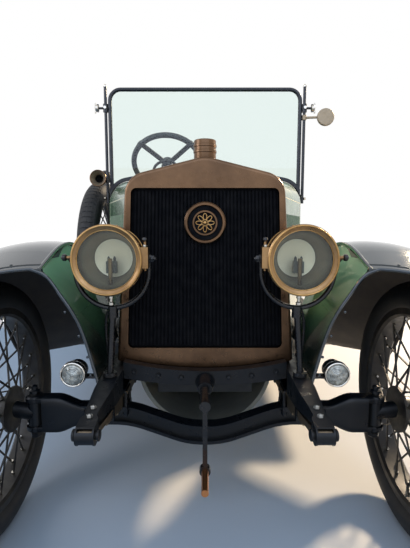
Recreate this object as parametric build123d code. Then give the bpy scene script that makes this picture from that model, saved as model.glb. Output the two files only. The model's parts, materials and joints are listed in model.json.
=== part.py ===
"""A small two-seat open touring car of about 1920.

Every piece is modelled with y = 0 at the front axle, x = 0 on the centreline and z = 0 on the
ground, in millimetres. The car faces -Y and its right-hand side is -X. export() then moves
everything along Y, so that the row's origin is under the middle of the car's length.
"""

import math
import os

from build123d import *

# Overall layout
WHEELBASE = 2350.0
TRACK = 1180.0
TAIL_OVERHANG = 512.0
REAR_END_Y = WHEELBASE + TAIL_OVERHANG

# Clearances
PIN_GAP = 0.3
FIT_GAP = 0.5
SEAM_GAP = 4.0
MOVING_GAP = 6.0

# Wheels, 710 x 90 beaded-edge tyres
TYRE_R = 355.0
TYRE_SECTION_R = 45.0
RIM_R = TYRE_R - 74.0
RIM_HALF_WIDTH = 33.0
RIM_WALL = 4.0
HUB_HALF_LENGTH = 62.0
HUB_BARREL_R = 30.0
HUB_FLANGE_R = 62.0
HUB_FLANGE_T = 7.0
SPINDLE_R = 14.0
SPOKES_PER_FLANGE = 20
SPOKE_SIDE = 4.2
SPOKE_LEAN_DEG = 34.0

# Frame. The heights of what it carries are counted from the top of its rails.
RAIL_X = 235.0
RAIL_WIDTH = 44.0
RAIL_INNER_X = RAIL_X - RAIL_WIDTH / 2
RAIL_OUTER_X = RAIL_X + RAIL_WIDTH / 2
RAIL_HEIGHT = 70.0
RAIL_TOP_Z = TYRE_R + 135.0
RAIL_BOTTOM_Z = RAIL_TOP_Z - RAIL_HEIGHT
RAIL_WALL = 5.0
FRONT_SPRING_HALF = 318.0
REAR_SPRING_HALF = 440.0
HORN_TIP_Y = -FRONT_SPRING_HALF
HORN_TIP_Z = RAIL_TOP_Z - 44.0
HORN_NOSE_R = 20.0
HORN_WIDTH = 38.0
HORN_NECK = 26.0
HORN_START_Y = -90.0
FRONT_END_Y = HORN_TIP_Y - HORN_NOSE_R
ROW_SHIFT_Y = -(FRONT_END_Y + REAR_END_Y) / 2

# Front axle and steering
AXLE_Z = TYRE_R - 10.0
AXLE_HEIGHT = 52.0
AXLE_DROP = 58.0
AXLE_FLANGE = 42.0
AXLE_WEB = 14.0
KINGPIN_X = TRACK / 2 - 120.0
KINGPIN_R = 10.0
BOSS_R = 20.0
BOSS_HEIGHT = 66.0
EAR_T = 14.0
ARM_LENGTH = 120.0
TRACK_ROD_Z = AXLE_Z - 88.0
TIE_ROD_R = 8.0
STEER_COLUMN_X = -182.0
STEER_WHEEL_Y = 965.0
STEER_WHEEL_Z = RAIL_TOP_Z + 670.0
STEER_WHEEL_R = 176.0
STEER_RIM_R = 13.0
COLUMN_RAKE_DEG = 46.0

# Leaf springs
SPRING_WIDTH = 30.0
LEAF_T = 7.0
LEAF_NEST = 0.4
FRONT_LEAVES = 5
REAR_LEAVES = 6
SPRING_EYE_R = 15.0
SPRING_PIN_R = 9.0
FRONT_SEAT_Z = AXLE_Z + AXLE_HEIGHT / 2 + 3.0
SHACKLE_Z = RAIL_BOTTOM_Z - 22.0
REAR_SPRING_X = 300.0
REAR_AXLE_R = 32.0
REAR_SEAT_Z = TYRE_R + REAR_AXLE_R + 4.0
REAR_PIN_FRONT_Z = RAIL_TOP_Z - 38.0
REAR_PIN_REAR_Z = RAIL_TOP_Z - 14.0

# Radiator
RADIATOR_FRONT_Y = -20.0
RADIATOR_DEPTH = 112.0
RADIATOR_TOP_Z = RAIL_TOP_Z + 546.0
RADIATOR_SHOULDER_Z = RAIL_TOP_Z + 495.0
RADIATOR_HALF_TOP = 205.0
RADIATOR_HALF_BOTTOM = 236.0
RADIATOR_BOTTOM_Z = RAIL_TOP_Z + 11.0
RADIATOR_BOW = 31.0
SHOULDER_R = 60.0
APEX_SHARE = 1.6
CORE_HALF_TOP = 190.0
CORE_HALF_BOTTOM = 206.0
CORE_TOP_Z = RAIL_TOP_Z + 465.0
CORE_BOTTOM_Z = RAIL_TOP_Z + 44.0
CORE_CORNER_R = 14.0
CORE_SETBACK = 9.0
CORE_TUBES = 40
CORE_TUBE_WIDTH = 5.0
CORE_TUBE_PROUD = 4.0
BADGE_R = 54.0
BADGE_Z = RAIL_TOP_Z + 376.0
CAP_R = 31.0
CAP_HEIGHT = 48.0

# Bonnet, scuttle and body
BONNET_SKIN = 4.0
BONNET_START_Y = RADIATOR_FRONT_Y + RADIATOR_DEPTH + MOVING_GAP
BONNET_END_Y = 560.0
BONNET_ROD_R = 4.0
BONNET_ROD_RISE = 2.0
FLAP_BOTTOM_Z = RAIL_TOP_Z + 210.0
LOUVRES = 13
LOUVRE_PITCH = 26.0
LOUVRE_R = 7.0
LOUVRE_LENGTH = 150.0
SCUTTLE_START_Y = BONNET_END_Y + MOVING_GAP
SCUTTLE_END_Y = 790.0
SCUTTLE_SKIN = 12.0
BODY_HALF = RAIL_X + 191.0
BODY_WALL = 18.0
SILL_Z = RAIL_TOP_Z
FLOOR_T = 16.0
FLOOR_TOP_Z = SILL_Z + FLOOR_T
BELT_Z = RAIL_TOP_Z + 472.0
DECK_SKIN = 14.0
TAIL_BOTTOM_Z = RAIL_TOP_Z + 70.0
COCKPIT_END_Y = WHEELBASE - 550.0
BULKHEAD_Y = COCKPIT_END_Y - BODY_WALL

# Lamps
LAMP_X = RAIL_X - 12.0
LAMP_Z = RAIL_TOP_Z + 290.0
LAMP_FRONT_Y = -168.0
LAMP_R = 82.0
LAMP_DRUM_R = 74.0
LAMP_GLASS_R = 67.0
LAMP_FORK_Y = -108.0
LAMP_FORK_R = 88.0
LAMP_FORK_DROP = 31.0
FORK_TUBE_R = 6.0
TRUNNION_R = 5.0
SIDE_LAMP_X = 320.0
SIDE_LAMP_Z = RAIL_TOP_Z + 10.0
SIDE_LAMP_R = 31.0
SIDE_LAMP_ARM_Y = -94.0

# Windscreen
SCREEN_Y = 772.0
SCREEN_HALF = BODY_HALF - 12.0
SCREEN_TOP_Z = 1448.0
SCREEN_FOOT_Z = RAIL_TOP_Z + 514.0
SCREEN_CLAMP_Z = SCREEN_TOP_Z - 78.0
SCREEN_CORNER_R = 48.0
SCREEN_TUBE_R = 8.5
SCREEN_SEAT = 2.2
SCREEN_POST_X = BODY_HALF + 7.0
SCREEN_POST_R = 6.5
SCREEN_GLASS_T = 5.0
MIRROR_R = 37.0

# Door, seat and tail
SEAT_WIDTH = 2 * (BODY_HALF - 23.0)
SEAT_FRONT_Y = COCKPIT_END_Y - 585.0
SEAT_DEPTH = 430.0
SEAT_Z = RAIL_TOP_Z + 122.0
SEAT_HEIGHT = 136.0
BACK_T = 104.0
BACK_HEIGHT = 372.0
BACK_LEAN_DEG = 12.0
DOOR_FRONT_Y = 962.0
DOOR_REAR_Y = SEAT_FRONT_Y + 197.0
DOOR_BOTTOM_Z = SILL_Z + 36.0
HINGE_BARREL_R = 7.0
HINGE_PIN_R = 3.5
HINGE_LENGTH = 34.0
DOOR_HINGE_X = BODY_HALF + 12.0
DOOR_HINGE_Y = DOOR_FRONT_Y + 3.0
LID_FRONT_Y = COCKPIT_END_Y + 275.0
LID_REAR_Y = REAR_END_Y - 302.0
LID_HALF = 250.0
LID_HINGE_Y = LID_FRONT_Y + 3.0
LID_HINGE_Z = BELT_Z + 22.0

# Wings and running boards
WING_INNER_X = BODY_HALF - 38.0
WING_OUTER_X = TRACK / 2 + 112.0
WING_DOME_R = 425.0
WING_SKIN = 4.0
WING_BEAD_R = 5.5
APRON_FOOT_Z = RAIL_TOP_Z - 12.0
REAR_WING_INNER_X = BODY_HALF + 54.0
BOARD_TOP_Z = TYRE_R + 15.0
BOARD_T = 24.0
BOARD_INNER_X = BODY_HALF - 24.0
BOARD_OUTER_X = TRACK / 2 + 78.0
BOARD_FRONT_Y = 655.0
BOARD_REAR_Y = WHEELBASE - 490.0
SPARE_X = BODY_HALF + 80.0
SPARE_Y = TYRE_R + 630.0
HORN_Z = BOARD_TOP_Z + 2 * TYRE_R - 18.0
TOOLBOX_X = BOARD_INNER_X + 133.0
TOOLBOX_Y = BOARD_REAR_Y - 300.0
TOOLBOX_BOLT_X = 170.0
TOOLBOX_BOLT_Y = 360.0
TOOLBOX_BOLT_R = 4.5

# Engine, starting handle and exhaust
ENGINE_FRONT_Y = 178.0
GEARBOX_END_Y = 1180.0
PAN_R = 204.0
PAN_Z = RAIL_BOTTOM_Z + 10.0
CRANK_Z = RAIL_TOP_Z - 38.0
CRANK_ARM_Y = -196.0
CRANK_SHAFT_R = 12.0
CRANK_THROW = 156.0
CRANK_GRIP = 77.0
EXHAUST_X = 200.0
EXHAUST_Z = RAIL_TOP_Z - 206.0
EXHAUST_R = 20.0
EXHAUST_END_Y = WHEELBASE + 200.0
TAIL_PIPE_LENGTH = 120.0


def block(x0, x1, y0, y1, z0, z1):
    """A rectangular block between two corners."""
    return Pos((x0 + x1) / 2, (y0 + y1) / 2, (z0 + z1) / 2) * Box(x1 - x0, y1 - y0, z1 - z0)


def rod(start, end, radius):
    """A round bar between two points."""
    a, b = Vector(*start), Vector(*end)
    plane = Plane(origin=a, z_dir=b - a)
    return plane * Cylinder(radius, (b - a).length, align=(Align.CENTER, Align.CENTER, Align.MIN))


def bar(start, end, across, side, deep):
    """A flat bar between two points, side wide along the direction across."""
    a, b = Vector(*start), Vector(*end)
    plane = Plane(origin=a, x_dir=Vector(*across), z_dir=b - a)
    return plane * Box(side, deep, (b - a).length, align=(Align.CENTER, Align.CENTER, Align.MIN))


def both_sides(shape):
    """The shape with its mirror image across the centreline."""
    return [shape, mirror(shape, about=Plane.YZ)]


def across_plane(y):
    """A plane across the car at y, with its local x along X and its local y along Z."""
    return Plane(origin=(0, y, 0), x_dir=(1, 0, 0), z_dir=(0, -1, 0))


def side_plane(x):
    """A plane along the car at x, with its local x along Y and its local y along Z."""
    return Plane(origin=(x, 0, 0), x_dir=(0, 1, 0), z_dir=(1, 0, 0))


def hood_outline(half_bottom, half_top, bottom_z, shoulder_z, apex_z, shoulder_r):
    """The gabled outline that the radiator, bonnet and scuttle share, closed along its bottom."""
    points = [
        (-half_bottom, bottom_z),
        (-half_top, shoulder_z),
        (0, apex_z),
        (half_top, shoulder_z),
        (half_bottom, bottom_z),
    ]
    apex_r = APEX_SHARE * shoulder_r
    return FilletPolyline(*points, radius=[shoulder_r, apex_r, shoulder_r])


def hood_face(half_bottom, half_top, bottom_z, shoulder_z, apex_z, shoulder_r, bow=0.0):
    """The outline as a face, with a straight bottom or one that bows down by bow."""
    arch = hood_outline(half_bottom, half_top, bottom_z, shoulder_z, apex_z, shoulder_r)
    left, right = (-half_bottom, bottom_z), (half_bottom, bottom_z)
    if bow:
        return make_face(arch + ThreePointArc(right, (0, bottom_z - bow), left))
    return make_face(arch + Line(right, left))


# Half width at the bottom and at the shoulder, z of the bottom, shoulder and apex, shoulder radius
RADIATOR_SECTION = (
    RADIATOR_HALF_BOTTOM,
    RADIATOR_HALF_TOP,
    RADIATOR_BOTTOM_Z,
    RADIATOR_SHOULDER_Z,
    RADIATOR_TOP_Z,
    SHOULDER_R,
)
SCUTTLE_FRONT_SECTION = (BODY_HALF - 42, BODY_HALF - 48, SILL_Z, RAIL_TOP_Z + 524, RAIL_TOP_Z + 592, 84.0)
SCUTTLE_REAR_SECTION = (BODY_HALF, BODY_HALF - 2, SILL_Z, RAIL_TOP_Z + 554, RAIL_TOP_Z + 638, 90.0)
HOOD_SECTIONS = [
    (BONNET_START_Y, *RADIATOR_SECTION),
    (BONNET_END_Y, *SCUTTLE_FRONT_SECTION),
    (SCUTTLE_END_Y, *SCUTTLE_REAR_SECTION),
]


def hood_section_at(y):
    """The section between two rows of the table, in proportion to y."""
    for a, b in zip(HOOD_SECTIONS, HOOD_SECTIONS[1:]):
        if y <= b[0]:
            break
    t = (y - a[0]) / (b[0] - a[0])
    return tuple(p + (q - p) * t for p, q in zip(a[1:], b[1:]))


def hood_solid(y0, y1, inset, drop=0.0):
    """The solid between two sections of the hood, taken in by inset and let down by drop."""
    faces = []
    for y in (y0, y1):
        hb, ht, zb, zs, za, r = hood_section_at(y)
        face = hood_face(hb - inset, ht - inset, zb - drop, zs - inset, za - inset, r - inset)
        faces.append(across_plane(y) * face)
    return loft(faces, ruled=True)


def tyre():
    """A beaded-edge tyre: a round tube whose beads narrow into the rim."""
    centre = TYRE_R - TYRE_SECTION_R
    crown = (Pos(0, centre) * Circle(TYRE_SECTION_R)) & (Pos(0, RIM_R + 100.5) * Rectangle(200, 200))
    bead = Pos(0, RIM_R + 2.0) * Rectangle(2 * (RIM_HALF_WIDTH - RIM_WALL - 0.5), 32.0)
    return revolve(Plane.XZ * (crown + bead), Axis.X)


def rim():
    """A clincher rim: a shallow channel whose edges hook in over the tyre's beads."""
    w, t = RIM_HALF_WIDTH, RIM_WALL
    base = RIM_R - 26.0
    profile = Plane.XZ * make_face(
        Polyline(
            [
                (-w, base + 7),
                (-w + 7, base),
                (w - 7, base),
                (w, base + 7),
                (w, RIM_R),
                (w - t, RIM_R),
                (w - t, base + t + 5),
                (w - 9, base + t),
                (-w + 9, base + t),
                (-w + t, base + t + 5),
                (-w + t, RIM_R),
                (-w, RIM_R),
            ],
            close=True,
        )
    )
    return revolve(profile, Axis.X)


def wheel():
    """Hub, spokes and rim as one piece, about the X axis, outer side towards +X."""
    half, t = HUB_HALF_LENGTH, HUB_FLANGE_T
    outline = [
        (-half, SPINDLE_R + PIN_GAP),
        (-half, HUB_FLANGE_R),
        (-half + t, HUB_FLANGE_R),
        (-half + t + 10, HUB_BARREL_R + 6),
        (0, HUB_BARREL_R),
        (half - t - 10, HUB_BARREL_R + 2),
        (half - t, HUB_FLANGE_R - 12),
        (half, HUB_FLANGE_R - 12),
        (half + 4, HUB_BARREL_R),
        (half + 30, HUB_BARREL_R - 6),
        (half + 42, 12),
        (half + 42, 0),
        (half + 24, 0),
        (half + 24, SPINDLE_R + PIN_GAP),
    ]
    hub = revolve(Plane.XZ * make_face(Polyline(outline, close=True)), Axis.X)
    spokes = []
    for side, flange_r in ((-1, HUB_FLANGE_R - 6), (1, HUB_FLANGE_R - 18)):
        for i in range(SPOKES_PER_FLANGE):
            at_rim = 360.0 * (i + 0.25 * (side + 1)) / SPOKES_PER_FLANGE
            at_hub = at_rim + SPOKE_LEAN_DEG * (1 if i % 2 else -1)
            foot = Vector(side * (half - t / 2), flange_r, 0).rotate(Axis.X, at_hub)
            tip = Vector(side * 9.0, RIM_R - 24.0, 0).rotate(Axis.X, at_rim)
            spokes.append(bar(tuple(foot), tuple(tip), (1, 0, 0), SPOKE_SIDE, SPOKE_SIDE))
    return hub.fuse(rim(), *spokes)


def frame():
    """Channel-section side rails with dumb irons, and the cross-members between them."""
    rear_y = WHEELBASE + REAR_SPRING_HALF + 15.0
    half_w, wall, bottom = RAIL_WIDTH / 2, RAIL_WALL, RAIL_BOTTOM_Z
    side = make_face(
        Polyline(
            [
                (HORN_START_Y, RAIL_TOP_Z),
                (HORN_TIP_Y + 64, HORN_TIP_Z + 32),
                (HORN_TIP_Y, HORN_TIP_Z + HORN_NOSE_R),
                (HORN_TIP_Y, HORN_TIP_Z - HORN_NOSE_R),
                (HORN_TIP_Y + 30, HORN_TIP_Z + 6),
                (HORN_START_Y - 60, bottom + 12),
                (HORN_START_Y + 60, bottom),
                (WHEELBASE - 330, bottom),
                (WHEELBASE - 120, bottom + 84),
                (WHEELBASE + 120, bottom + 84),
                (rear_y, bottom + 40),
                (rear_y, bottom + 72),
                (WHEELBASE + 140, RAIL_TOP_Z + 62),
                (WHEELBASE - 140, RAIL_TOP_Z + 62),
                (WHEELBASE - 350, RAIL_TOP_Z),
            ],
            close=True,
        )
    )
    side += Pos(HORN_TIP_Y, HORN_TIP_Z) * Circle(HORN_NOSE_R)
    rail = extrude(side_plane(RAIL_X) * side, amount=half_w, both=True)
    web = extrude(side_plane(RAIL_X - wall) * offset(side, -wall), amount=half_w, both=True)
    web = web & block(RAIL_X - RAIL_WIDTH, RAIL_OUTER_X - wall, -60, WHEELBASE + 300, 0, 2 * RAIL_TOP_Z)
    tip_y, neck_y = FRONT_END_Y - 5, HORN_TIP_Y + 34
    plan = [(half_w, rear_y), (half_w, HORN_START_Y - 80), (HORN_NECK / 2, neck_y)]
    plan += [(HORN_WIDTH / 2, neck_y - 12), (HORN_WIDTH / 2, tip_y)]
    plan += [(-x, y) for x, y in reversed(plan)]
    taper = Pos(RAIL_X, 0, 0) * extrude(make_face(Polyline(plan, close=True)), amount=2 * RAIL_TOP_Z)
    rail = (rail - web) & taper
    pin_half = HORN_WIDTH / 2 + 5
    eye = Pos(RAIL_X, HORN_TIP_Y, HORN_TIP_Z) * Rot(0, 90, 0) * Cylinder(SPRING_PIN_R, 2 * pin_half)
    slot_half = SPRING_WIDTH / 2 + FIT_GAP
    slot_y = HORN_TIP_Y - SPRING_EYE_R - FIT_GAP
    slot_top = HORN_TIP_Z + SPRING_EYE_R + 2.5
    slot = block(-slot_half, slot_half, slot_y, HORN_TIP_Y + 20, HORN_TIP_Z - 60, slot_top)
    slot += block(-slot_half, slot_half, slot_y, HORN_TIP_Y + 42, HORN_TIP_Z - 60, HORN_TIP_Z + 8)
    rail = (rail - Pos(RAIL_X, 0, 0) * slot) + eye
    members = []
    inner = RAIL_INNER_X + wall
    for y, z_top, height in (
        (BONNET_END_Y + 80, RAIL_TOP_Z, 60),
        (SEAT_FRONT_Y + 35, RAIL_TOP_Z, 60),
        (rear_y - 30, RAIL_TOP_Z - 2, 50),
    ):
        z0 = z_top - height
        beam = block(-inner, inner, y - 22, y + 22, z0, z_top)
        members.append(beam - block(-inner - 1, inner + 1, y - 17, y + 30, z0 + wall, z_top - wall))
    left, right = both_sides(rail)
    return left.fuse(right, *members)


def front_crossmember():
    """The bowed front member below the radiator, with the starting handle's bearing."""
    y0, y1 = RADIATOR_FRONT_Y - 32, RADIATOR_FRONT_Y - SEAM_GAP
    reach = RAIL_INNER_X
    end_top, end_low = RAIL_TOP_Z + 16, RAIL_TOP_Z - 28
    top = ThreePointArc((-reach, end_top), (0, end_top - 25), (reach, end_top))
    low = ThreePointArc((reach, end_low), (0, end_low - 19), (-reach, end_low))
    ends = Line((reach, end_top), (reach, end_low)) + Line((-reach, end_low), (-reach, end_top))
    beam = extrude(across_plane(y1) * make_face(top + low + ends), amount=y1 - y0)
    nose = Pos(0, y0 - 24, CRANK_Z) * Rot(90, 0, 0) * Cone(26, 18, 52)
    bore = rod((0, y0 - 80, CRANK_Z), (0, y1 + 1, CRANK_Z), CRANK_SHAFT_R + PIN_GAP)
    return beam.fuse(nose) - bore


def front_axle():
    """A forged I-beam that dips under the crankcase, with forked ends for the kingpins."""
    h = AXLE_HEIGHT / 2
    seat = RAIL_X - 29.0
    end = KINGPIN_X - BOSS_R - 7.0
    line = [(-end, AXLE_Z), (-seat, AXLE_Z), (-46, AXLE_Z - AXLE_DROP)]
    line += [(-x, z) for x, z in reversed(line)]

    def beam(z_low, z_high, thick):
        upper = FilletPolyline(*[(x, z + z_high) for x, z in line], radius=240)
        lower = FilletPolyline(*[(x, z + z_low) for x, z in line], radius=240)
        ends = [Line((s * end, AXLE_Z + z_low), (s * end, AXLE_Z + z_high)) for s in (-1, 1)]
        return extrude(Plane.XZ * make_face(upper + lower + ends), amount=thick / 2, both=True)

    core = beam(-h, h, AXLE_WEB)
    flanges = [beam(h - 9, h, AXLE_FLANGE), beam(-h, -h + 9, AXLE_FLANGE)]
    pieces = []
    boss = BOSS_HEIGHT / 2
    for s in (-1, 1):
        x0, x1 = sorted((s * (end - 34), s * end))
        pieces.append(block(x0, x1, -21, 21, AXLE_Z - boss - EAR_T, AXLE_Z + boss + EAR_T))
        for z in (boss + 1.0, -boss - 1.0 - EAR_T):
            ear = Pos(s * KINGPIN_X, 0, AXLE_Z + z + EAR_T / 2) * Cylinder(BOSS_R + 2, EAR_T)
            x0, x1 = sorted((s * (end - 10), s * KINGPIN_X))
            arm = block(x0, x1, -20, 20, AXLE_Z + z, AXLE_Z + z + EAR_T)
            pieces += [ear, arm]
        pin = Pos(s * KINGPIN_X, 0, AXLE_Z) * Cylinder(KINGPIN_R, BOSS_HEIGHT + 2 * EAR_T + 22)
        pieces.append(pin)
        x0, x1 = sorted((s * (RAIL_X - 26), s * (RAIL_X + 26)))
        pieces.append(block(x0, x1, -34, 34, AXLE_Z + 16, FRONT_SEAT_Z))
    return core.fuse(*flanges, *pieces)


def knuckle():
    """The left stub axle: boss on the kingpin, spindle through the hub and steering arm behind."""
    hub_x = TRACK / 2
    boss = Pos(KINGPIN_X, 0, AXLE_Z) * Cylinder(BOSS_R, BOSS_HEIGHT)
    stem = rod((KINGPIN_X, 0, AXLE_Z), (hub_x - HUB_HALF_LENGTH - 2, 0, AXLE_Z + 9), 22.0)
    stem = stem & block(KINGPIN_X, hub_x - HUB_HALF_LENGTH - 5, -60, 60, 200, 500)
    spindle = rod((KINGPIN_X + 10, 0, TYRE_R), (hub_x + HUB_HALF_LENGTH + 20, 0, TYRE_R), SPINDLE_R)
    bend, tip = (KINGPIN_X, 46, AXLE_Z - 18), (KINGPIN_X, ARM_LENGTH, TRACK_ROD_Z + 22)
    root = bar((KINGPIN_X, 0, AXLE_Z - 18), bend, (1, 0, 0), 26, 16)
    arm = bar(bend, tip, (1, 0, 0), 26, 16)
    elbow = Pos(*bend) * Rot(0, 90, 0) * Cylinder(8, 26)
    pad = Pos(*tip) * Cylinder(15, 16)
    stud = rod(tip, (KINGPIN_X, ARM_LENGTH, TRACK_ROD_Z - 18), 7.0)
    bore = Pos(KINGPIN_X, 0, AXLE_Z) * Cylinder(KINGPIN_R + PIN_GAP, 2 * BOSS_HEIGHT)
    return boss.fuse(stem, spindle, root, elbow, arm, pad, stud) - bore


def tie_rod():
    """The track rod behind the axle, with an eye under each steering arm."""
    z = TRACK_ROD_Z
    shaft = rod((-KINGPIN_X + 8, ARM_LENGTH, z), (KINGPIN_X - 8, ARM_LENGTH, z), TIE_ROD_R)
    eyes = [Pos(s * KINGPIN_X, ARM_LENGTH, z) * Cylinder(16, 24) for s in (-1, 1)]
    bores = [Pos(s * KINGPIN_X, ARM_LENGTH, z) * Cylinder(7.0 + PIN_GAP, 60) for s in (-1, 1)]
    sleeves = [rod((s * 400, ARM_LENGTH, z), (s * 330, ARM_LENGTH, z), TIE_ROD_R + 5) for s in (-1, 1)]
    return shaft.fuse(*eyes, *sleeves) - bores[0] - bores[1]


def leaf_spring(x, y_mid, seat_z, half, front_z, rear_z, leaves):
    """A semi-elliptic spring: a main leaf with rolled eyes over leaves of falling length."""
    pitch = LEAF_T - LEAF_NEST
    z_top = seat_z + LEAF_T + (leaves - 1) * pitch
    front = (y_mid - half, front_z + LEAF_T / 2)
    rear = (y_mid + half, rear_z + LEAF_T / 2)
    top = ThreePointArc(front, (y_mid, z_top), rear)
    low = Pos(0, -LEAF_T) * top
    main = make_face(top + low + Line(top @ 0, low @ 0) + Line(top @ 1, low @ 1))
    outline = main
    for i in range(1, leaves):
        reach = half * (1.0 - 0.86 * i / leaves)
        outline += (Pos(0, -i * pitch) * main) & (Pos(y_mid, z_top) * Rectangle(2 * reach, 400))
    for y, z in ((y_mid - half, front_z), (y_mid + half, rear_z)):
        outline += Pos(y, z) * Circle(SPRING_EYE_R)
        outline -= Pos(y, z) * Circle(SPRING_PIN_R + PIN_GAP)
    spring = extrude(side_plane(x) * outline, amount=SPRING_WIDTH / 2, both=True)
    clip = block(x - 25, x + 25, y_mid - 30, y_mid + 30, z_top - 3, z_top + 9)
    pad = block(x - 60, x + 60, y_mid - 60, y_mid + 60, seat_z - 40, seat_z)
    return spring.fuse(clip) - pad


def front_springs():
    """The pair of front leaf springs between the dumb irons and the frame's hangers."""
    spring = leaf_spring(RAIL_X, 0.0, FRONT_SEAT_Z, FRONT_SPRING_HALF, HORN_TIP_Z, SHACKLE_Z, FRONT_LEAVES)
    return Compound(children=both_sides(spring))


def rear_springs():
    """The pair of rear leaf springs outside the frame."""
    spring = leaf_spring(
        REAR_SPRING_X,
        WHEELBASE,
        REAR_SEAT_Z,
        REAR_SPRING_HALF,
        REAR_PIN_FRONT_Z,
        REAR_PIN_REAR_Z,
        REAR_LEAVES,
    )
    return Compound(children=both_sides(spring))


def spring_hangers():
    """The frame's pins and cheeks for the ends of the springs behind the dumb irons."""
    pieces = []
    cheek = SPRING_WIDTH / 2 + FIT_GAP
    cheek_end = cheek + 5.5
    y = FRONT_SPRING_HALF
    pin_end = REAR_SPRING_X + SPRING_WIDTH / 2 + 8.0
    boss_end = REAR_SPRING_X - SPRING_WIDTH / 2 - FIT_GAP
    for s in (-1, 1):
        for near, far in ((cheek, cheek_end), (-cheek, -cheek_end)):
            x0, x1 = sorted((s * (RAIL_X + near), s * (RAIL_X + far)))
            pieces.append(block(x0, x1, y - 20, y + 20, SHACKLE_Z - 18, RAIL_BOTTOM_Z + 4))
        low, reach = s * (RAIL_X - cheek_end), s * (RAIL_X + cheek_end)
        pieces.append(rod((low, y, SHACKLE_Z), (reach, y, SHACKLE_Z), SPRING_PIN_R))
        for dy, z in ((-REAR_SPRING_HALF, REAR_PIN_FRONT_Z), (REAR_SPRING_HALF, REAR_PIN_REAR_Z)):
            y_pin = WHEELBASE + dy
            pieces.append(rod((s * RAIL_X, y_pin, z), (s * pin_end, y_pin, z), SPRING_PIN_R))
            pieces.append(rod((s * RAIL_X, y_pin, z), (s * boss_end, y_pin, z), SPRING_EYE_R))
    return pieces


def rear_axle():
    """The rear axle tube with its bevel casing, brake backplates, stub ends and torque tube."""
    y, z = WHEELBASE, TYRE_R
    inner_flange = TRACK / 2 - HUB_HALF_LENGTH
    tube = rod((-inner_flange + 6, y, z), (inner_flange - 6, y, z), REAR_AXLE_R)
    stubs = rod((-TRACK / 2 - 82, y, z), (TRACK / 2 + 82, y, z), SPINDLE_R)
    half = [(0, 0), (0, 130), (9, 130), (9, 118), (48, 108), (84, 76), (190, REAR_AXLE_R + 4), (190, 0)]
    outline = half + [(-x, r) for x, r in reversed(half[2:])]
    casing = Pos(0, y, z) * revolve(Plane.XZ * make_face(Polyline(outline, close=True)), Axis.X)
    torque = rod((0, y - 90, z + 4), (0, GEARBOX_END_Y + 120, RAIL_BOTTOM_Z - 40), 30.0)
    drums = [
        rod((s * (inner_flange - 50), y, z), (s * (inner_flange - 7), y, z), 138.0) for s in (-1, 1)
    ]
    pads = [
        block(s * REAR_SPRING_X - 24, s * REAR_SPRING_X + 24, y - 34, y + 34, z, REAR_SEAT_Z)
        for s in (-1, 1)
    ]
    return tube.fuse(stubs, casing, torque, *drums, *pads)


def engine():
    """Two pairs of cylinders on a crankcase, with the gearbox behind: one plain piece."""
    low, top = RAIL_TOP_Z - 160, RAIL_TOP_Z + 10
    case = block(-150, 150, ENGINE_FRONT_Y, BONNET_END_Y - 4, low, top)
    cylinders = [
        block(-70, 70, y, y + 170, top, top + 300).fuse(Pos(0, y + 85, top + 300) * Cylinder(52, 44))
        for y in (ENGINE_FRONT_Y + 7, ENGINE_FRONT_Y + 197)
    ]
    arms = []
    for y in (ENGINE_FRONT_Y + 22, BONNET_END_Y - 60):
        arms.append(block(-RAIL_X, RAIL_X, y, y + 30, PAN_Z + 2, RAIL_TOP_Z - 34))
        for x in (-RAIL_X, RAIL_INNER_X + 2):
            arms.append(block(x, x + RAIL_WIDTH / 2 - 2, y, y + 30, RAIL_BOTTOM_Z + RAIL_WALL, PAN_Z + 2))
    flywheel = rod((0, BONNET_END_Y - 4, PAN_Z - 30), (0, BONNET_END_Y + 40, PAN_Z - 30), 82.0)
    box = block(-105, 105, BONNET_END_Y + 40, GEARBOX_END_Y, low, low + 94)
    shaft = rod((0, GEARBOX_END_Y, low + 52), (0, GEARBOX_END_Y + 118, low + 48), 34.0)
    return case.fuse(*cylinders, *arms, flywheel, box, shaft)


def undertray():
    """The half-round sheet pan that hangs between the frame rails under the engine."""
    y0, y1 = ENGINE_FRONT_Y - 10, GEARBOX_END_Y - 30
    centre = Pos(0, PAN_Z)
    below = Pos(0, PAN_Z - 150) * Rectangle(500, 300)
    sheet = (centre * Circle(PAN_R) - centre * Circle(PAN_R - 3)) & below
    ring = (centre * Circle(RAIL_INNER_X) - centre * Circle(PAN_R - 2)) & below
    skin = extrude(across_plane(y1) * sheet, amount=y1 - y0)
    pitch = (y1 - y0 - 14) / 4
    ribs = [extrude(across_plane(y0 + 14 + i * pitch) * ring, amount=14) for i in range(5)]
    return skin.fuse(*ribs)


def radiator_shell():
    """The brass shell: a gabled surround with a rolled front edge, open in front and behind."""
    y0, y1 = RADIATOR_FRONT_Y, RADIATOR_FRONT_Y + RADIATOR_DEPTH
    outer = extrude(across_plane(y1) * hood_face(*RADIATOR_SECTION, bow=RADIATOR_BOW), amount=y1 - y0)
    arch_edges = outer.edges().group_by(Axis.Y)[0].sort_by(Axis.Z)[1:]
    outer = fillet(arch_edges, 9.0)
    opening = Polyline(
        [
            (-CORE_HALF_BOTTOM, CORE_BOTTOM_Z),
            (-CORE_HALF_TOP, CORE_TOP_Z),
            (CORE_HALF_TOP, CORE_TOP_Z),
            (CORE_HALF_BOTTOM, CORE_BOTTOM_Z),
        ],
        close=True,
    )
    hole = fillet(make_face(opening).vertices(), CORE_CORNER_R)
    shell = outer - extrude(across_plane(y1 + 1) * hole, amount=y1 - y0 + 2)
    feet = [
        block(*sorted((s * (RAIL_X - 18), s * (RAIL_X - 1))), 14, 66, RAIL_TOP_Z, RADIATOR_BOTTOM_Z + 6)
        for s in (-1, 1)
    ]
    return shell.fuse(*feet)


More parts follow.
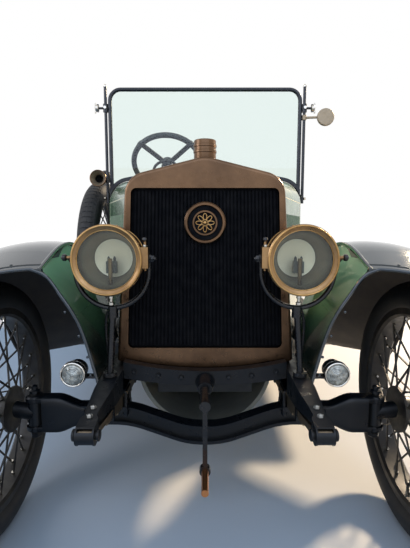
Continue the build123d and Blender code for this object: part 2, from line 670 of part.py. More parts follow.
def radiator_core():
    """The core that fills the shell's opening, with its upright tubes proud of the fin stack."""
    y0 = RADIATOR_FRONT_Y + CORE_SETBACK
    y1 = RADIATOR_FRONT_Y + RADIATOR_DEPTH - 4.0
    gap = FIT_GAP
    outline = Polyline(
        [
            (-CORE_HALF_BOTTOM + gap, CORE_BOTTOM_Z + gap),
            (-CORE_HALF_TOP + gap, CORE_TOP_Z - gap),
            (CORE_HALF_TOP - gap, CORE_TOP_Z - gap),
            (CORE_HALF_BOTTOM - gap, CORE_BOTTOM_Z + gap),
        ],
        close=True,
    )
    face = fillet(make_face(outline).vertices(), CORE_CORNER_R)
    slab = extrude(across_plane(y1) * face, amount=y1 - y0 - CORE_TUBE_PROUD)
    pitch = 2 * (CORE_HALF_TOP - 6) / CORE_TUBES
    tubes = []
    for i in range(CORE_TUBES):
        share = (i + 0.5) / CORE_TUBES * 2 - 1
        x_top = share * (CORE_HALF_TOP - 6)
        x_low = share * (CORE_HALF_BOTTOM - 6)
        w = CORE_TUBE_WIDTH / 2
        strip = make_face(
            Polyline(
                [
                    (x_low - w, CORE_BOTTOM_Z + 6),
                    (x_top - w, CORE_TOP_Z - 6),
                    (x_top + w, CORE_TOP_Z - 6),
                    (x_low + w, CORE_BOTTOM_Z + 6),
                ],
                close=True,
            )
        )
        tubes.append(extrude(across_plane(y0 + CORE_TUBE_PROUD + 1) * strip, amount=CORE_TUBE_PROUD + 1))
    return slab.fuse(*tubes)


def radiator_cap():
    """The filler cap, a short cylinder with two raised bands, seated on the shell's crown."""
    y = RADIATOR_FRONT_Y + RADIATOR_DEPTH / 2
    base, top, neck = RADIATOR_TOP_Z - 10.0, RADIATOR_TOP_Z + CAP_HEIGHT, CAP_R - 1.5
    outline = [(0, base), (neck, base)]
    for z in (base + 24, base + 39):
        outline += [(neck, z), (CAP_R, z + 1), (CAP_R, z + 6), (neck, z + 7)]
    outline += [(neck, top - 2), (neck - 2, top), (0, top)]
    face = Plane.XZ * make_face(Polyline(outline, close=True))
    crown = extrude(across_plane(y + 60) * hood_face(*RADIATOR_SECTION), amount=120)
    return Pos(0, y, 0) * revolve(face, Axis.Z) - crown


def radiator_badge():
    """The round ornament on the shell's crown: two raised rings about a domed centre."""
    y = RADIATOR_FRONT_Y + CORE_SETBACK
    outline = [(0, y), (BADGE_R, y), (BADGE_R, y - 9), (BADGE_R - 3, y - 12), (BADGE_R - 8, y - 12)]
    outline += [(BADGE_R - 11, y - 8), (34, y - 8), (32, y - 12), (28, y - 12), (26, y - 8), (0, y - 10)]
    face = Plane.XY * make_face(Polyline(outline, close=True))
    return Pos(0, 0, BADGE_Z) * revolve(face, Axis.Y)


def headlamp():
    """The left headlamp: a drum with a wide rim, open at the front, hinged at its inner side."""
    y = LAMP_FRONT_Y
    r, d, g = LAMP_R, LAMP_DRUM_R, LAMP_GLASS_R + FIT_GAP
    outline = [(0, y + 128), (d - 34, y + 128), (d - 6, y + 112), (d, y + 96), (d, y + 24), (r, y + 20)]
    outline += [(r, y + 3), (r - 3, y), (g, y + 7), (g, y + 14), (d - 3, y + 18), (d - 6, y + 40)]
    outline += [(d - 20, y + 84), (0, y + 104)]
    face = Plane.XY * make_face(Polyline(outline, close=True))
    drum = Pos(LAMP_X, 0, LAMP_Z) * revolve(face, Axis.Y)
    hinge_x = LAMP_X - r - 4
    hinge = block(hinge_x - 8, hinge_x + 12, y + 4, y + 30, LAMP_Z - 18, LAMP_Z + 30)
    pin = rod((hinge_x, y + 14, LAMP_Z - 24), (hinge_x, y + 14, LAMP_Z + 44), 3.5)
    ball = Pos(hinge_x, y + 14, LAMP_Z + 46) * Sphere(5.5)
    knob = rod((LAMP_X + r - 4, y + 14, LAMP_Z + 6), (LAMP_X + r + 12, y + 14, LAMP_Z + 6), 4.0)
    near, far = d - 6, LAMP_FORK_R + 11
    trunnions = [
        rod((LAMP_X + s * near, LAMP_FORK_Y, LAMP_Z), (LAMP_X + s * far, LAMP_FORK_Y, LAMP_Z), TRUNNION_R)
        for s in (-1, 1)
    ]
    burner = rod((LAMP_X, y + 40, LAMP_Z - d + 3), (LAMP_X, y + 40, LAMP_Z + 2), 5.0)
    return drum.fuse(hinge, pin, ball, knob, burner, *trunnions)


def headlamp_glass():
    """The flat front glass of the left headlamp."""
    return Pos(LAMP_X, LAMP_FRONT_Y + 10, LAMP_Z) * Rot(90, 0, 0) * Cylinder(LAMP_GLASS_R, 4)


def lamp_bracket():
    """The forked bracket of the left headlamp: a round yoke on a stalk that foots on the frame."""
    r, low = LAMP_FORK_R, LAMP_Z - LAMP_FORK_DROP
    side_in, side_out, bottom = (LAMP_X - r, low), (LAMP_X + r, low), (LAMP_X, low - r)
    line = Line((LAMP_X - r, LAMP_Z), side_in) + ThreePointArc(side_in, bottom, side_out)
    line += Line(side_out, (LAMP_X + r, LAMP_Z))
    start = Pos(LAMP_X - r, LAMP_FORK_Y, LAMP_Z) * Circle(FORK_TUBE_R)
    yoke = sweep(start, path=across_plane(LAMP_FORK_Y) * line)
    stalk = rod((LAMP_X, LAMP_FORK_Y, low - r), (RAIL_X, LAMP_FORK_Y, RAIL_TOP_Z), 8.0)
    collar = rod((LAMP_X, LAMP_FORK_Y, low - r - 24), (LAMP_X, LAMP_FORK_Y, low - r + 4), 12.0)
    base = Pos(RAIL_X, LAMP_FORK_Y, RAIL_TOP_Z + 5) * Cylinder(17, 10)
    caps = []
    holes = []
    for x in (LAMP_X - r, LAMP_X + r):
        across = Pos(x, LAMP_FORK_Y, LAMP_Z) * Rot(0, 90, 0)
        caps.append(across * Cylinder(11, 12))
        holes.append(across * Cylinder(TRUNNION_R + PIN_GAP, 40))
    rail = block(0, 400, LAMP_FORK_Y - 50, LAMP_FORK_Y + 50, RAIL_BOTTOM_Z, RAIL_TOP_Z)
    return yoke.fuse(stalk, base, collar, *caps) - holes - rail


def side_lamp():
    """The left low lamp: a short round housing with a domed lens, on an arm from the frame."""
    x, z, r = SIDE_LAMP_X, SIDE_LAMP_Z, SIDE_LAMP_R
    y = -128.0
    outline = [(0, y), (r - 6, y + 3), (r - 4, y - 4), (r, y - 2), (r, y + 12), (r - 4, y + 16)]
    outline += [(r - 6, y + 44), (r - 18, y + 58), (0, y + 60)]
    face = Plane.XY * make_face(Polyline(outline, close=True))
    body = Pos(x, 0, z) * revolve(face, Axis.Y)
    arm_y, low = SIDE_LAMP_ARM_Y, z - 19
    arm = block(RAIL_OUTER_X, x, arm_y - 11, arm_y + 11, low, low + 6)
    return body.fuse(arm)


def hood_side_x(y, z):
    """The half width of the hood's flat side at y and z."""
    half_bottom, half_top, bottom_z, shoulder_z = hood_section_at(y)[:4]
    return half_bottom + (half_top - half_bottom) * (z - bottom_z) / (shoulder_z - bottom_z)


def louvres():
    """The pressed ribs of the louvres along the side of the left bonnet flap."""
    ribs = []
    middle = (BONNET_START_Y + BONNET_END_Y) / 2
    for i in range(LOUVRES):
        y = middle + (i - (LOUVRES - 1) / 2) * LOUVRE_PITCH
        low, high = FLAP_BOTTOM_Z + 45, FLAP_BOTTOM_Z + 45 + LOUVRE_LENGTH
        ribs.append(rod((hood_side_x(y, low), y, low), (hood_side_x(y, high), y, high), LOUVRE_R))
    return ribs


def bonnet_half():
    """The left bonnet flap: from the centre hinge over the shoulder to the edge of the valance."""
    y0, y1 = BONNET_START_Y, BONNET_END_Y
    inside = hood_solid(y0, y1, BONNET_SKIN, 30.0)
    shell = hood_solid(y0, y1, 0.0).fuse(*louvres()) - inside
    return shell & block(BONNET_ROD_R + 1.0, BODY_HALF, y0, y1, FLAP_BOTTOM_Z, 2 * FLAP_BOTTOM_Z)


def valance_half():
    """The left fixed panel below the bonnet flap, down to the frame."""
    y0, y1 = BONNET_START_Y, BONNET_END_Y
    shell = hood_solid(y0, y1, 0.0) - hood_solid(y0, y1, BONNET_SKIN, 30.0)
    panel = shell & block(0, BODY_HALF, y0, y1, RAIL_BOTTOM_Z, FLAP_BOTTOM_Z - MOVING_GAP)
    x = hood_section_at(y0)[0]
    foot = block(RAIL_X - 18, x - 1, y0, y0 + 30, RAIL_TOP_Z, RADIATOR_BOTTOM_Z + 10)
    return panel.fuse(foot)


def hood_crown_z(y):
    """The height of the hood's rounded crown at y."""
    half_top, shoulder_z, apex_z, shoulder_r = [hood_section_at(y)[i] for i in (1, 3, 4, 5)]
    slope = math.atan2(apex_z - shoulder_z, half_top)
    return apex_z - APEX_SHARE * shoulder_r * (1 / math.cos(slope) - 1)


def bonnet_rod():
    """The hinge rod along the crown of the bonnet, from the radiator to the scuttle."""
    z0 = hood_crown_z(BONNET_START_Y) + BONNET_ROD_RISE
    z1 = hood_crown_z(BONNET_END_Y) + BONNET_ROD_RISE
    start = (0, RADIATOR_FRONT_Y + RADIATOR_DEPTH + 0.5, z0)
    return rod(start, (0, SCUTTLE_START_Y - 0.5, z1), BONNET_ROD_R)


def column_point(reach):
    """The point on the steering column's axis at this distance below the wheel's centre."""
    a = math.radians(COLUMN_RAKE_DEG)
    return (STEER_COLUMN_X, STEER_WHEEL_Y - reach * math.cos(a), STEER_WHEEL_Z - reach * math.sin(a))


def scuttle():
    """The cowl between bonnet and cockpit, closed in front by the bulkhead the column passes."""
    y0, y1 = SCUTTLE_START_Y, SCUTTLE_END_Y
    shell = hood_solid(y0, y1, 0.0) - hood_solid(y0 + SCUTTLE_SKIN, y1, SCUTTLE_SKIN, 30.0)
    return shell - rod(column_point(700), column_point(100), 24.0)


def dashboard():
    """The instrument board across the scuttle's open end, cut away below for the legs."""
    y0, y1 = SCUTTLE_END_Y - 16.0, SCUTTLE_END_Y - 3.0
    low, dial_z = RAIL_TOP_Z + 352, RAIL_TOP_Z + 502
    board = hood_solid(y0, y1, SCUTTLE_SKIN + PIN_GAP) & block(-BODY_HALF, BODY_HALF, y0, y1, low, 2 * low)
    clocks = [Pos(x, y1 + 8, dial_z) * Rot(90, 0, 0) * Cylinder(r, 22) for x, r in ((-20, 46), (92, 38))]
    return board.fuse(*clocks) - rod(column_point(700), column_point(100), 24.0)


def body_plan(inset):
    """The outline of the body seen from above, rounded at the tail, taken in by inset."""
    y0 = SCUTTLE_END_Y + SEAM_GAP - (40.0 if inset else 0.0)
    side = [
        (BODY_HALF, y0),
        (BODY_HALF + 12, COCKPIT_END_Y - 500),
        (BODY_HALF + 48, COCKPIT_END_Y + 50),
        (BODY_HALF + 44, REAR_END_Y),
    ]
    right = [(x - inset, min(y, REAR_END_Y - inset)) for x, y in side]
    left = [(-x, y) for x, y in reversed(right)]
    line = FilletPolyline(*right, *left, radius=[900, 900, 370 - inset, 370 - inset, 900, 900])
    return make_face(line + Line(left[-1], right[0]))


def body_profile(inset, deck_only):
    """The outline of the body seen from the side, taken in by inset under the deck."""
    y0 = SCUTTLE_END_Y + SEAM_GAP
    top = [
        (y0, BELT_Z + 50),
        (y0 + 110, BELT_Z),
        (DOOR_REAR_Y + 30, BELT_Z),
        (DOOR_REAR_Y + 160, BELT_Z + 30),
        (COCKPIT_END_Y, BELT_Z + 38),
        (LID_FRONT_Y + 190, BELT_Z - 2),
        (REAR_END_Y, BELT_Z - 220),
    ]
    low = [(REAR_END_Y, TAIL_BOTTOM_Z + 80), (REAR_END_Y - 150, TAIL_BOTTOM_Z)]
    low += [(WHEELBASE - 180, TAIL_BOTTOM_Z), (WHEELBASE - 365, SILL_Z), (y0, SILL_Z)]
    if deck_only:
        deck = Polyline([*top[4:], *low[:3], (COCKPIT_END_Y, TAIL_BOTTOM_Z)], close=True)
        return offset(make_face(deck), -inset)
    crown = FilletPolyline(*top, radius=[80, 160, 160, 300, 500])
    return make_face(crown + Polyline([top[-1], *low]) + Line(low[-1], top[0]))


def body_outer():
    """The whole outside of the body behind the scuttle as a solid, its deck edge rounded."""
    plan = extrude(Pos(0, 0, RAIL_BOTTOM_Z) * body_plan(0.0), amount=800)
    profile = extrude(side_plane(0) * body_profile(0.0, False), amount=600, both=True)
    return plan & profile


def cockpit_void():
    """The space that the cockpit takes out of the body, open at the top."""
    plan = extrude(Pos(0, 0, RAIL_BOTTOM_Z) * body_plan(BODY_WALL), amount=800)
    return plan & block(-600, 600, SCUTTLE_START_Y, BULKHEAD_Y, RAIL_BOTTOM_Z, RAIL_BOTTOM_Z + 800)


def boot_void():
    """The luggage space under the rear deck."""
    plan = extrude(Pos(0, 0, RAIL_BOTTOM_Z) * body_plan(BODY_WALL), amount=800)
    profile = extrude(side_plane(0) * body_profile(DECK_SKIN, True), amount=600, both=True)
    return plan & profile & block(-600, 600, COCKPIT_END_Y, REAR_END_Y, RAIL_BOTTOM_Z, RAIL_BOTTOM_Z + 800)


def door_box(gap):
    """The space of the left door, taken in by gap at its edges."""
    z0 = DOOR_BOTTOM_Z + gap
    return block(0, 700, DOOR_FRONT_Y + gap, DOOR_REAR_Y - gap, z0, 2 * z0)


def lid_box(gap):
    """The space of the boot lid, taken in by gap at its edges."""
    x = LID_HALF - gap
    return block(-x, x, LID_FRONT_Y + gap, LID_REAR_Y - gap, TAIL_BOTTOM_Z + 140, BELT_Z + 300)


def hinge_halves(place, leaf_depth):
    """A barrel hinge upright at a place, its moving leaf towards +Y and its fixed one towards -Y."""
    half = HINGE_LENGTH / 2
    moving = Cylinder(HINGE_BARREL_R, HINGE_LENGTH)
    moving = moving.fuse(block(-leaf_depth, 3 - HINGE_BARREL_R, 0, 34, -half, half))
    moving = moving - Cylinder(HINGE_PIN_R + PIN_GAP, 2 * HINGE_LENGTH)
    pin = Cylinder(HINGE_PIN_R, HINGE_LENGTH + 20)
    fixed = [pin]
    for side in (-1, 1):
        z0, z1 = sorted((side * (half + FIT_GAP), side * (half + 12)))
        fixed.append(Pos(0, 0, (z0 + z1) / 2) * Cylinder(HINGE_BARREL_R, z1 - z0))
        fixed.append(block(-leaf_depth, 0, -20, 0, z0, z1))
    return place * moving, place * fixed[0].fuse(*fixed[1:])


def door_hinges():
    """The moving and the fixed halves of the door's two hinges."""
    places = [Pos(DOOR_HINGE_X, DOOR_HINGE_Y, z) for z in (DOOR_BOTTOM_Z + 90, BELT_Z - 90)]
    return list(zip(*[hinge_halves(place, 12.0) for place in places]))


def lid_hinges():
    """The moving and the fixed halves of the boot lid's two hinges."""
    places = [Pos(x, LID_HINGE_Y, LID_HINGE_Z) * Rot(0, -90, 0) for x in (-150, 150)]
    return list(zip(*[hinge_halves(place, 12.0) for place in places]))


def body_tub(outer, cockpit, boot, hinges):
    """The body's hollow shell with the openings for the door and the boot lid."""
    z = BOARD_TOP_Z + TYRE_R
    carrier = rod((-SPARE_X + 20, SPARE_Y, z), (-BODY_HALF + 6, SPARE_Y, z), SPINDLE_R)
    tub = outer - cockpit - boot - door_box(0.0) - lid_box(0.0)
    return tub.fuse(carrier, *hinges)


def cabin_floor():
    """The floor boards from the scuttle to the bulkhead, on the frame."""
    front = SCUTTLE_START_Y + SCUTTLE_SKIN + FIT_GAP
    seam = SCUTTLE_END_Y + SEAM_GAP
    back = extrude(Pos(0, 0, SILL_Z) * body_plan(BODY_WALL + FIT_GAP), amount=FLOOR_T)
    back = back & block(-600, 600, seam - 2, BULKHEAD_Y - FIT_GAP, SILL_Z, FLOOR_TOP_Z)
    toe = hood_solid(front, seam - 0.1, SCUTTLE_SKIN + FIT_GAP)
    toe = toe & block(-600, 600, front, seam, SILL_Z, FLOOR_TOP_Z)
    return back.fuse(toe)


def seat_box():
    """The wooden box under the seat cushion."""
    half = SEAT_WIDTH / 2 - 3
    return block(-half, half, SEAT_FRONT_Y + 20, SEAT_FRONT_Y + SEAT_DEPTH, FLOOR_TOP_Z, SEAT_Z)


def seat_cushion():
    """The full-width seat cushion."""
    half = SEAT_WIDTH / 2
    pad = block(-half, half, SEAT_FRONT_Y, SEAT_FRONT_Y + SEAT_DEPTH, SEAT_Z, SEAT_Z + SEAT_HEIGHT)
    return fillet(pad.edges().filter_by(Axis.X), 30)


def seat_back():
    """The full-width back rest, leaning against the bulkhead."""
    half = SEAT_WIDTH / 2
    pad = Box(2 * half, BACK_T, BACK_HEIGHT, align=(Align.CENTER, Align.MIN, Align.MIN))
    pad = fillet(pad.edges().filter_by(Axis.X), 30)
    y = SEAT_FRONT_Y + SEAT_DEPTH - 48.0
    return Pos(0, y, SEAT_Z + SEAT_HEIGHT + 11.0) * Rot(-BACK_LEAN_DEG, 0, 0) * pad


def screen_arch(up):
    """The scuttle's outline under the windscreen, raised by up."""
    half_bottom, half_top, bottom_z, shoulder_z, apex_z, corner_r = hood_section_at(SCREEN_Y)
    heights = (bottom_z - 200, shoulder_z + up, apex_z + up)
    return hood_face(half_bottom + up, half_top + up, *heights, corner_r + up)


def windscreen_frame():
    """The tube frame of the windscreen, its lower rail over the scuttle and its two side posts."""
    h, top, r, foot = SCREEN_HALF, SCREEN_TOP_Z, SCREEN_CORNER_R, SCREEN_FOOT_Z
    line = FilletPolyline((-h, foot), (-h, top), (h, top), (h, foot), radius=[r, r])
    path = across_plane(SCREEN_Y) * line
    start = Plane(origin=path @ 0, z_dir=path % 0)
    hoop = sweep(start * Circle(SCREEN_TUBE_R), path=path)
    rear = across_plane(SCREEN_Y + 9)
    rail = extrude(rear * screen_arch(15.0), amount=18)
    rail = rail & block(-h - 8, h + 8, SCREEN_Y - 20, SCREEN_Y + 20, foot - 14, top)
    seat = extrude(across_plane(SCREEN_Y + 30) * screen_arch(SCREEN_SEAT), amount=60)
    pieces = []
    for s in (-1, 1):
        x = s * SCREEN_POST_X
        clip_x = s * (SCREEN_POST_X + 30)
        z = SCREEN_CLAMP_Z
        pieces.append(rod((x, SCREEN_Y, foot - 44), (x, SCREEN_Y, top + 14), SCREEN_POST_R))
        x0, x1 = sorted((s * (BODY_HALF + 1), x))
        pieces.append(block(x0, x1, SCREEN_Y - 16, SCREEN_Y + 16, foot - 42, foot - 4))
        pieces.append(Pos(x, SCREEN_Y, z) * Cylinder(11, 34))
        pieces.append(rod((s * h, SCREEN_Y, z), (clip_x, SCREEN_Y, z), 5.0))
        x0, x1 = sorted((clip_x, clip_x + s * 7))
        pieces.append(block(x0, x1, SCREEN_Y - 5, SCREEN_Y + 5, z - 16, z + 16))
    return (hoop.fuse(rail) - seat).fuse(*pieces) - screen_pane(PIN_GAP)


def screen_pane(grow):
    """The windscreen's pane, grown all round by grow."""
    h, top, r = SCREEN_HALF - 4.0 + grow, SCREEN_TOP_Z - 4.0 + grow, SCREEN_CORNER_R
    low = SCREEN_FOOT_Z - 104
    sheet = Pos(0, (top + low) / 2) * RectangleRounded(2 * h, top - low, r)
    sheet -= screen_arch(9.0 - grow)
    sheet = sheet & (Pos(0, top) * Rectangle(2 * h + 50, 2 * (top - SCREEN_FOOT_Z)))
    thick = SCREEN_GLASS_T + 2 * grow
    return extrude(across_plane(SCREEN_Y + thick / 2) * sheet, amount=thick)


def post_clamp(x, z):
    """A split collar on a windscreen post, as a solid to carry a fitting."""
    return Pos(x, SCREEN_Y, z) * (Cylinder(SCREEN_POST_R + 3.5, 20) - Cylinder(SCREEN_POST_R + PIN_GAP, 30))


def post_mirror():
    """The round mirror on an arm from the left windscreen post."""
    x, z = SCREEN_POST_X, SCREEN_TOP_Z - 118
    arm = rod((x + SCREEN_POST_R + 2, SCREEN_Y, z), (x + 62, SCREEN_Y - 8, z), 5.0)
    case = Pos(x + 54 + MIRROR_R, SCREEN_Y - 10, z) * Rot(90, 0, 0) * Cylinder(MIRROR_R, 16)
    return fillet(case.edges(), 5).fuse(arm, post_clamp(x, z))


def horn():
    """The bulb horn's bell and tube on the right of the scuttle, facing forward."""
    x, y, z = -(BODY_HALF + 29), SCREEN_Y - 82, HORN_Z
    outline = [(31, 0), (34, 0), (34, 4), (22, 24), (13, 54), (8, 96), (8, 140), (0, 140), (0, 60)]
    outline += [(8, 54), (17, 24)]
    face = Plane.XY * make_face(Polyline(outline, close=True))
    bell = Pos(x, y, z) * revolve(face, Axis.Y)
    bulb = Pos(x, y + 136, z + 22) * Sphere(28)
    clamp_x = -SCREEN_POST_X
    post = rod((x, SCREEN_Y, z), (clamp_x - SCREEN_POST_R - 2, SCREEN_Y, z), 6.0)
    return bell.fuse(bulb, post, post_clamp(clamp_x, z))


def column():
    """The steering column's fixed tube and the gear casing on the frame."""
    top = column_point(46)
    low = column_point(1010)
    casing = block(-RAIL_INNER_X, -154, 240, 322, RAIL_TOP_Z - 52, RAIL_TOP_Z + 10)
    quadrant = Plane(origin=column_point(60), z_dir=Vector(*column_point(0)) - Vector(*column_point(1)))
    ring = quadrant * (Cylinder(70, 6) - Cylinder(58, 8))
    arms = quadrant * Box(124, 12, 6)
    return rod(low, top, 16.0).fuse(casing, ring, arms)


def steering_wheel():
    """The steering wheel: a round rim on four flat spokes and a domed boss."""
    hub = Plane(origin=column_point(0), z_dir=Vector(*column_point(0)) - Vector(*column_point(1)))
    ring = Torus(STEER_WHEEL_R - STEER_RIM_R, STEER_RIM_R)
    boss = Pos(0, 0, -8) * Cylinder(30, 52)
    spokes = [Rot(0, 0, 45 + 90 * i) * Pos(95, 0, 0) * Box(166, 22, 7) for i in range(4)]
    return hub * ring.fuse(boss, *spokes)


def wing(points, radii, x_inner, x_crown, cutter):
    """A left wing: a domed section carried along a side outline, with a bead on each edge."""
    path = side_plane(0) * FilletPolyline(*points, radius=radii)
    start = Plane(origin=path @ 0, x_dir=(1, 0, 0), z_dir=path % 0)
    ring = Pos(x_crown, WING_DOME_R) * (Circle(WING_DOME_R) - Circle(WING_DOME_R - WING_SKIN))
    width = WING_OUTER_X - x_inner
    section = ring & (Pos(x_inner + width / 2, 100) * Rectangle(width, 240))
    for x in (x_inner, WING_OUTER_X):
        drop = WING_DOME_R - math.sqrt(WING_DOME_R**2 - (x - x_crown) ** 2) + WING_SKIN
        section = section + Pos(x, drop) * Circle(WING_BEAD_R)
    return sweep(start * section, path=path) - cutter


# Columns: y, height over the running board, along the crown of the front wing
FRONT_WING_ROWS = [(-240, 356), (50, 462), (300, 400), (455, 110), (560, 8), (BOARD_FRONT_Y - 3, 0)]
FRONT_WING_RADII = [350, 300, 300, 150]
# Columns: y, height over the running board of the apron's top edge, inward bow of its middle
APRON_ROWS = [(-132, 389, 26), (60, 439, 20), (205, 416, 12), (330, 325, 6), (455, 114, 1)]
# Columns: y from the rear axle, height over the running board, along the crown of the rear wing
REAR_WING_ROWS = [(-487, 1), (-435, 4), (-365, 270), (-180, 445), (170, 445), (350, 290), (450, 90)]
REAR_WING_RADII = [40, 200, 200, 220, 200]


def apron_foot_x(y):
    """The inner edge of the front wing's apron: on the frame, then beside the bonnet."""
    if y <= BONNET_START_Y:
        return RAIL_OUTER_X
    return max(RAIL_OUTER_X, hood_section_at(y)[0] + SEAM_GAP)


def front_wing():
    """The left front wing with the apron between its inner edge and the frame."""
    x0, x1 = RAIL_OUTER_X, WING_OUTER_X + 60
    lip = make_face(Polyline([(x0, -100), (x1, -253), (x1, -400), (x0, -400)], close=True))
    below = block(x0, x1, 300, BOARD_FRONT_Y, 0, BOARD_TOP_Z - WING_SKIN)
    cutter = extrude(lip, amount=2 * RAIL_TOP_Z) + below
    line = [(y, BOARD_TOP_Z + rise) for y, rise in FRONT_WING_ROWS]
    crown = wing(line, FRONT_WING_RADII, WING_INNER_X, WING_INNER_X + 57, cutter)
    sections = []
    for y, rise, bow in APRON_ROWS:
        foot, edge = (apron_foot_x(y), APRON_FOOT_Z), (WING_INNER_X - 2, BOARD_TOP_Z + rise)
        middle = ((foot[0] + edge[0]) / 2 - bow, (foot[1] + edge[1]) / 2)
        inner = ThreePointArc(foot, middle, edge)
        outer = Pos(3, 0) * inner
        ends = Line(inner @ 0, outer @ 0) + Line(inner @ 1, outer @ 1)
        sections.append(across_plane(y) * make_face(inner + outer + ends))
    arm_y, low = SIDE_LAMP_ARM_Y, SIDE_LAMP_Z - 19
    slot = block(x0, x0 + 40, arm_y - 12, arm_y + 12, low - 1, low + 7)
    return crown.fuse(loft(sections, ruled=True)) - slot


def rear_wing():
    """The left rear wing with its upright inner panel beside the body and its iron from the frame."""
    inner = REAR_WING_INNER_X
    cutter = block(300, 800, BOARD_REAR_Y, WHEELBASE - 200, 0, BOARD_TOP_Z - BOARD_T)
    line = [(WHEELBASE + dy, BOARD_TOP_Z + rise) for dy, rise in REAR_WING_ROWS]
    crown = wing(line, REAR_WING_RADII, inner, inner + 20, cutter)
    panel = make_face(Polyline([(y, z - 5) for y, z in line[2:6]], close=True))
    iron_z = TAIL_BOTTOM_Z - 18
    iron = block(RAIL_OUTER_X, inner, WHEELBASE - 70, WHEELBASE - 40, iron_z, iron_z + 8)
    stay = block(inner - 4, inner, WHEELBASE - 70, WHEELBASE - 40, iron_z, BOARD_TOP_Z + 320)
    return crown.fuse(extrude(side_plane(inner - 1) * panel, amount=4), iron, stay)


def running_board():
    """The left running board with its brackets under the frame and the apron beside the sill."""
    y0, y1, top = BOARD_FRONT_Y, BOARD_REAR_Y, BOARD_TOP_Z
    low = top - BOARD_T
    board = block(BOARD_INNER_X, BOARD_OUTER_X, y0, y1, low, top)
    apron = block(BOARD_INNER_X - 4, BOARD_INNER_X, y0, y1, low, SILL_Z - FIT_GAP)
    bolts = [
        Pos(TOOLBOX_X + sx * TOOLBOX_BOLT_X / 2, TOOLBOX_Y + sy * TOOLBOX_BOLT_Y / 2, top)
        * Cylinder(TOOLBOX_BOLT_R, 80)
        for sx in (-1, 1)
        for sy in (-1, 1)
    ]
    pieces = [apron]
    for y in (y0 + 105, (y0 + y1) / 2 - 17.5, y1 - 50):
        pieces.append(block(RAIL_X - 12, BOARD_OUTER_X - 30, y - 14, y + 14, low - 12, low))
        pieces.append(block(RAIL_X - 12, RAIL_X + 12, y - 14, y + 14, low - 12, RAIL_BOTTOM_Z))
    return board.fuse(*pieces) - bolts


def exhaust():
    """The silencer with its pipes, hung from the frame by two straps."""
    x, z, end = EXHAUST_X, EXHAUST_Z, BOARD_REAR_Y - 90
    collar_y = EXHAUST_END_Y - TAIL_PIPE_LENGTH
    pipe = rod((x, GEARBOX_END_Y - 24, z), (x, collar_y, z), EXHAUST_R + 2)
    tail = rod((x, collar_y - 10, z), (x, EXHAUST_END_Y, z), EXHAUST_R)
    can = rod((x, end - 480, z), (x, end, z), 60.0)
    straps = [block(x + 20, x + 32, y - 12, y + 12, z + 30, RAIL_BOTTOM_Z) for y in (end - 420, end - 60)]
    return pipe.fuse(tail, can, *straps)


def crank():
    """The starting handle: shaft, arm hanging down and grip."""
    y, low = CRANK_ARM_Y, CRANK_Z - CRANK_THROW
    shaft = rod((0, y - 9, CRANK_Z), (0, RADIATOR_FRONT_Y - 18, CRANK_Z), CRANK_SHAFT_R)
    arm = bar((0, y, CRANK_Z), (0, y, low), (1, 0, 0), 11, 13)
    ends = [Pos(0, y, z) * Rot(90, 0, 0) * Cylinder(13, 16) for z in (CRANK_Z, low)]
    grip = rod((0, y - 8, low), (0, y - 8 - CRANK_GRIP, low), 8.0)
    return shaft.fuse(arm, grip, *ends)


def folded_hood():
    """The folded hood resting on the deck behind the seats."""
    half, y0 = BODY_HALF + 4, COCKPIT_END_Y + 22
    pad = block(-half, half, y0, y0 + 224, BELT_Z + 36, BELT_Z + 158)
    return fillet(pad.edges().filter_by(Axis.X), 40)


def pedals():
    """The two pedals on the bulkhead behind the engine."""
    y, z = SCUTTLE_START_Y + SCUTTLE_SKIN, FLOOR_TOP_Z + 90
    pieces = []
    for x in (-250, -130):
        stem = rod((x, y - 10, z), (x, y + 96, z + 40), 7.0)
        stem = stem & block(x - 20, x + 20, y, y + 110, z - 20, z + 80)
        pad = Pos(x, y + 96, z + 44) * Rot(38, 0, 0) * Box(62, 8, 70)
        pieces.append(stem.fuse(pad))
    return Compound(children=pieces)


def export(node, shape):
    """Write one piece in the shared frame."""
    export_step(Pos(0, ROW_SHIFT_Y, 0) * shape, os.path.join("parts", node + ".step"))


os.makedirs("parts", exist_ok=True)

left_wheel = wheel()
right_wheel = Rot(0, 0, 180) * left_wheel
one_tyre = tyre()
# Columns: name ending, hub centre, whether on the right
for name, x, y, z, on_right in [
    ("front_left", TRACK / 2, 0, TYRE_R, False),
    ("front_right", -TRACK / 2, 0, TYRE_R, True),
    ("rear_left", TRACK / 2, WHEELBASE, TYRE_R, False),
    ("rear_right", -TRACK / 2, WHEELBASE, TYRE_R, True),
    ("spare", -SPARE_X, SPARE_Y, BOARD_TOP_Z + TYRE_R, True),
]:
    export("wheel_" + name, Pos(x, y, z) * (right_wheel if on_right else left_wheel))
    export("tyre_" + name, Pos(x, y, z) * one_tyre)

outer = body_outer()
cockpit = cockpit_void()
boot = boot_void()
skin = outer - cockpit - boot
door_leaves, door_pins = door_hinges()
lid_leaves, lid_pins = lid_hinges()
knuckle_left, knuckle_right = both_sides(knuckle())
flap_left, flap_right = both_sides(bonnet_half())
panel_left, panel_right = both_sides(valance_half())

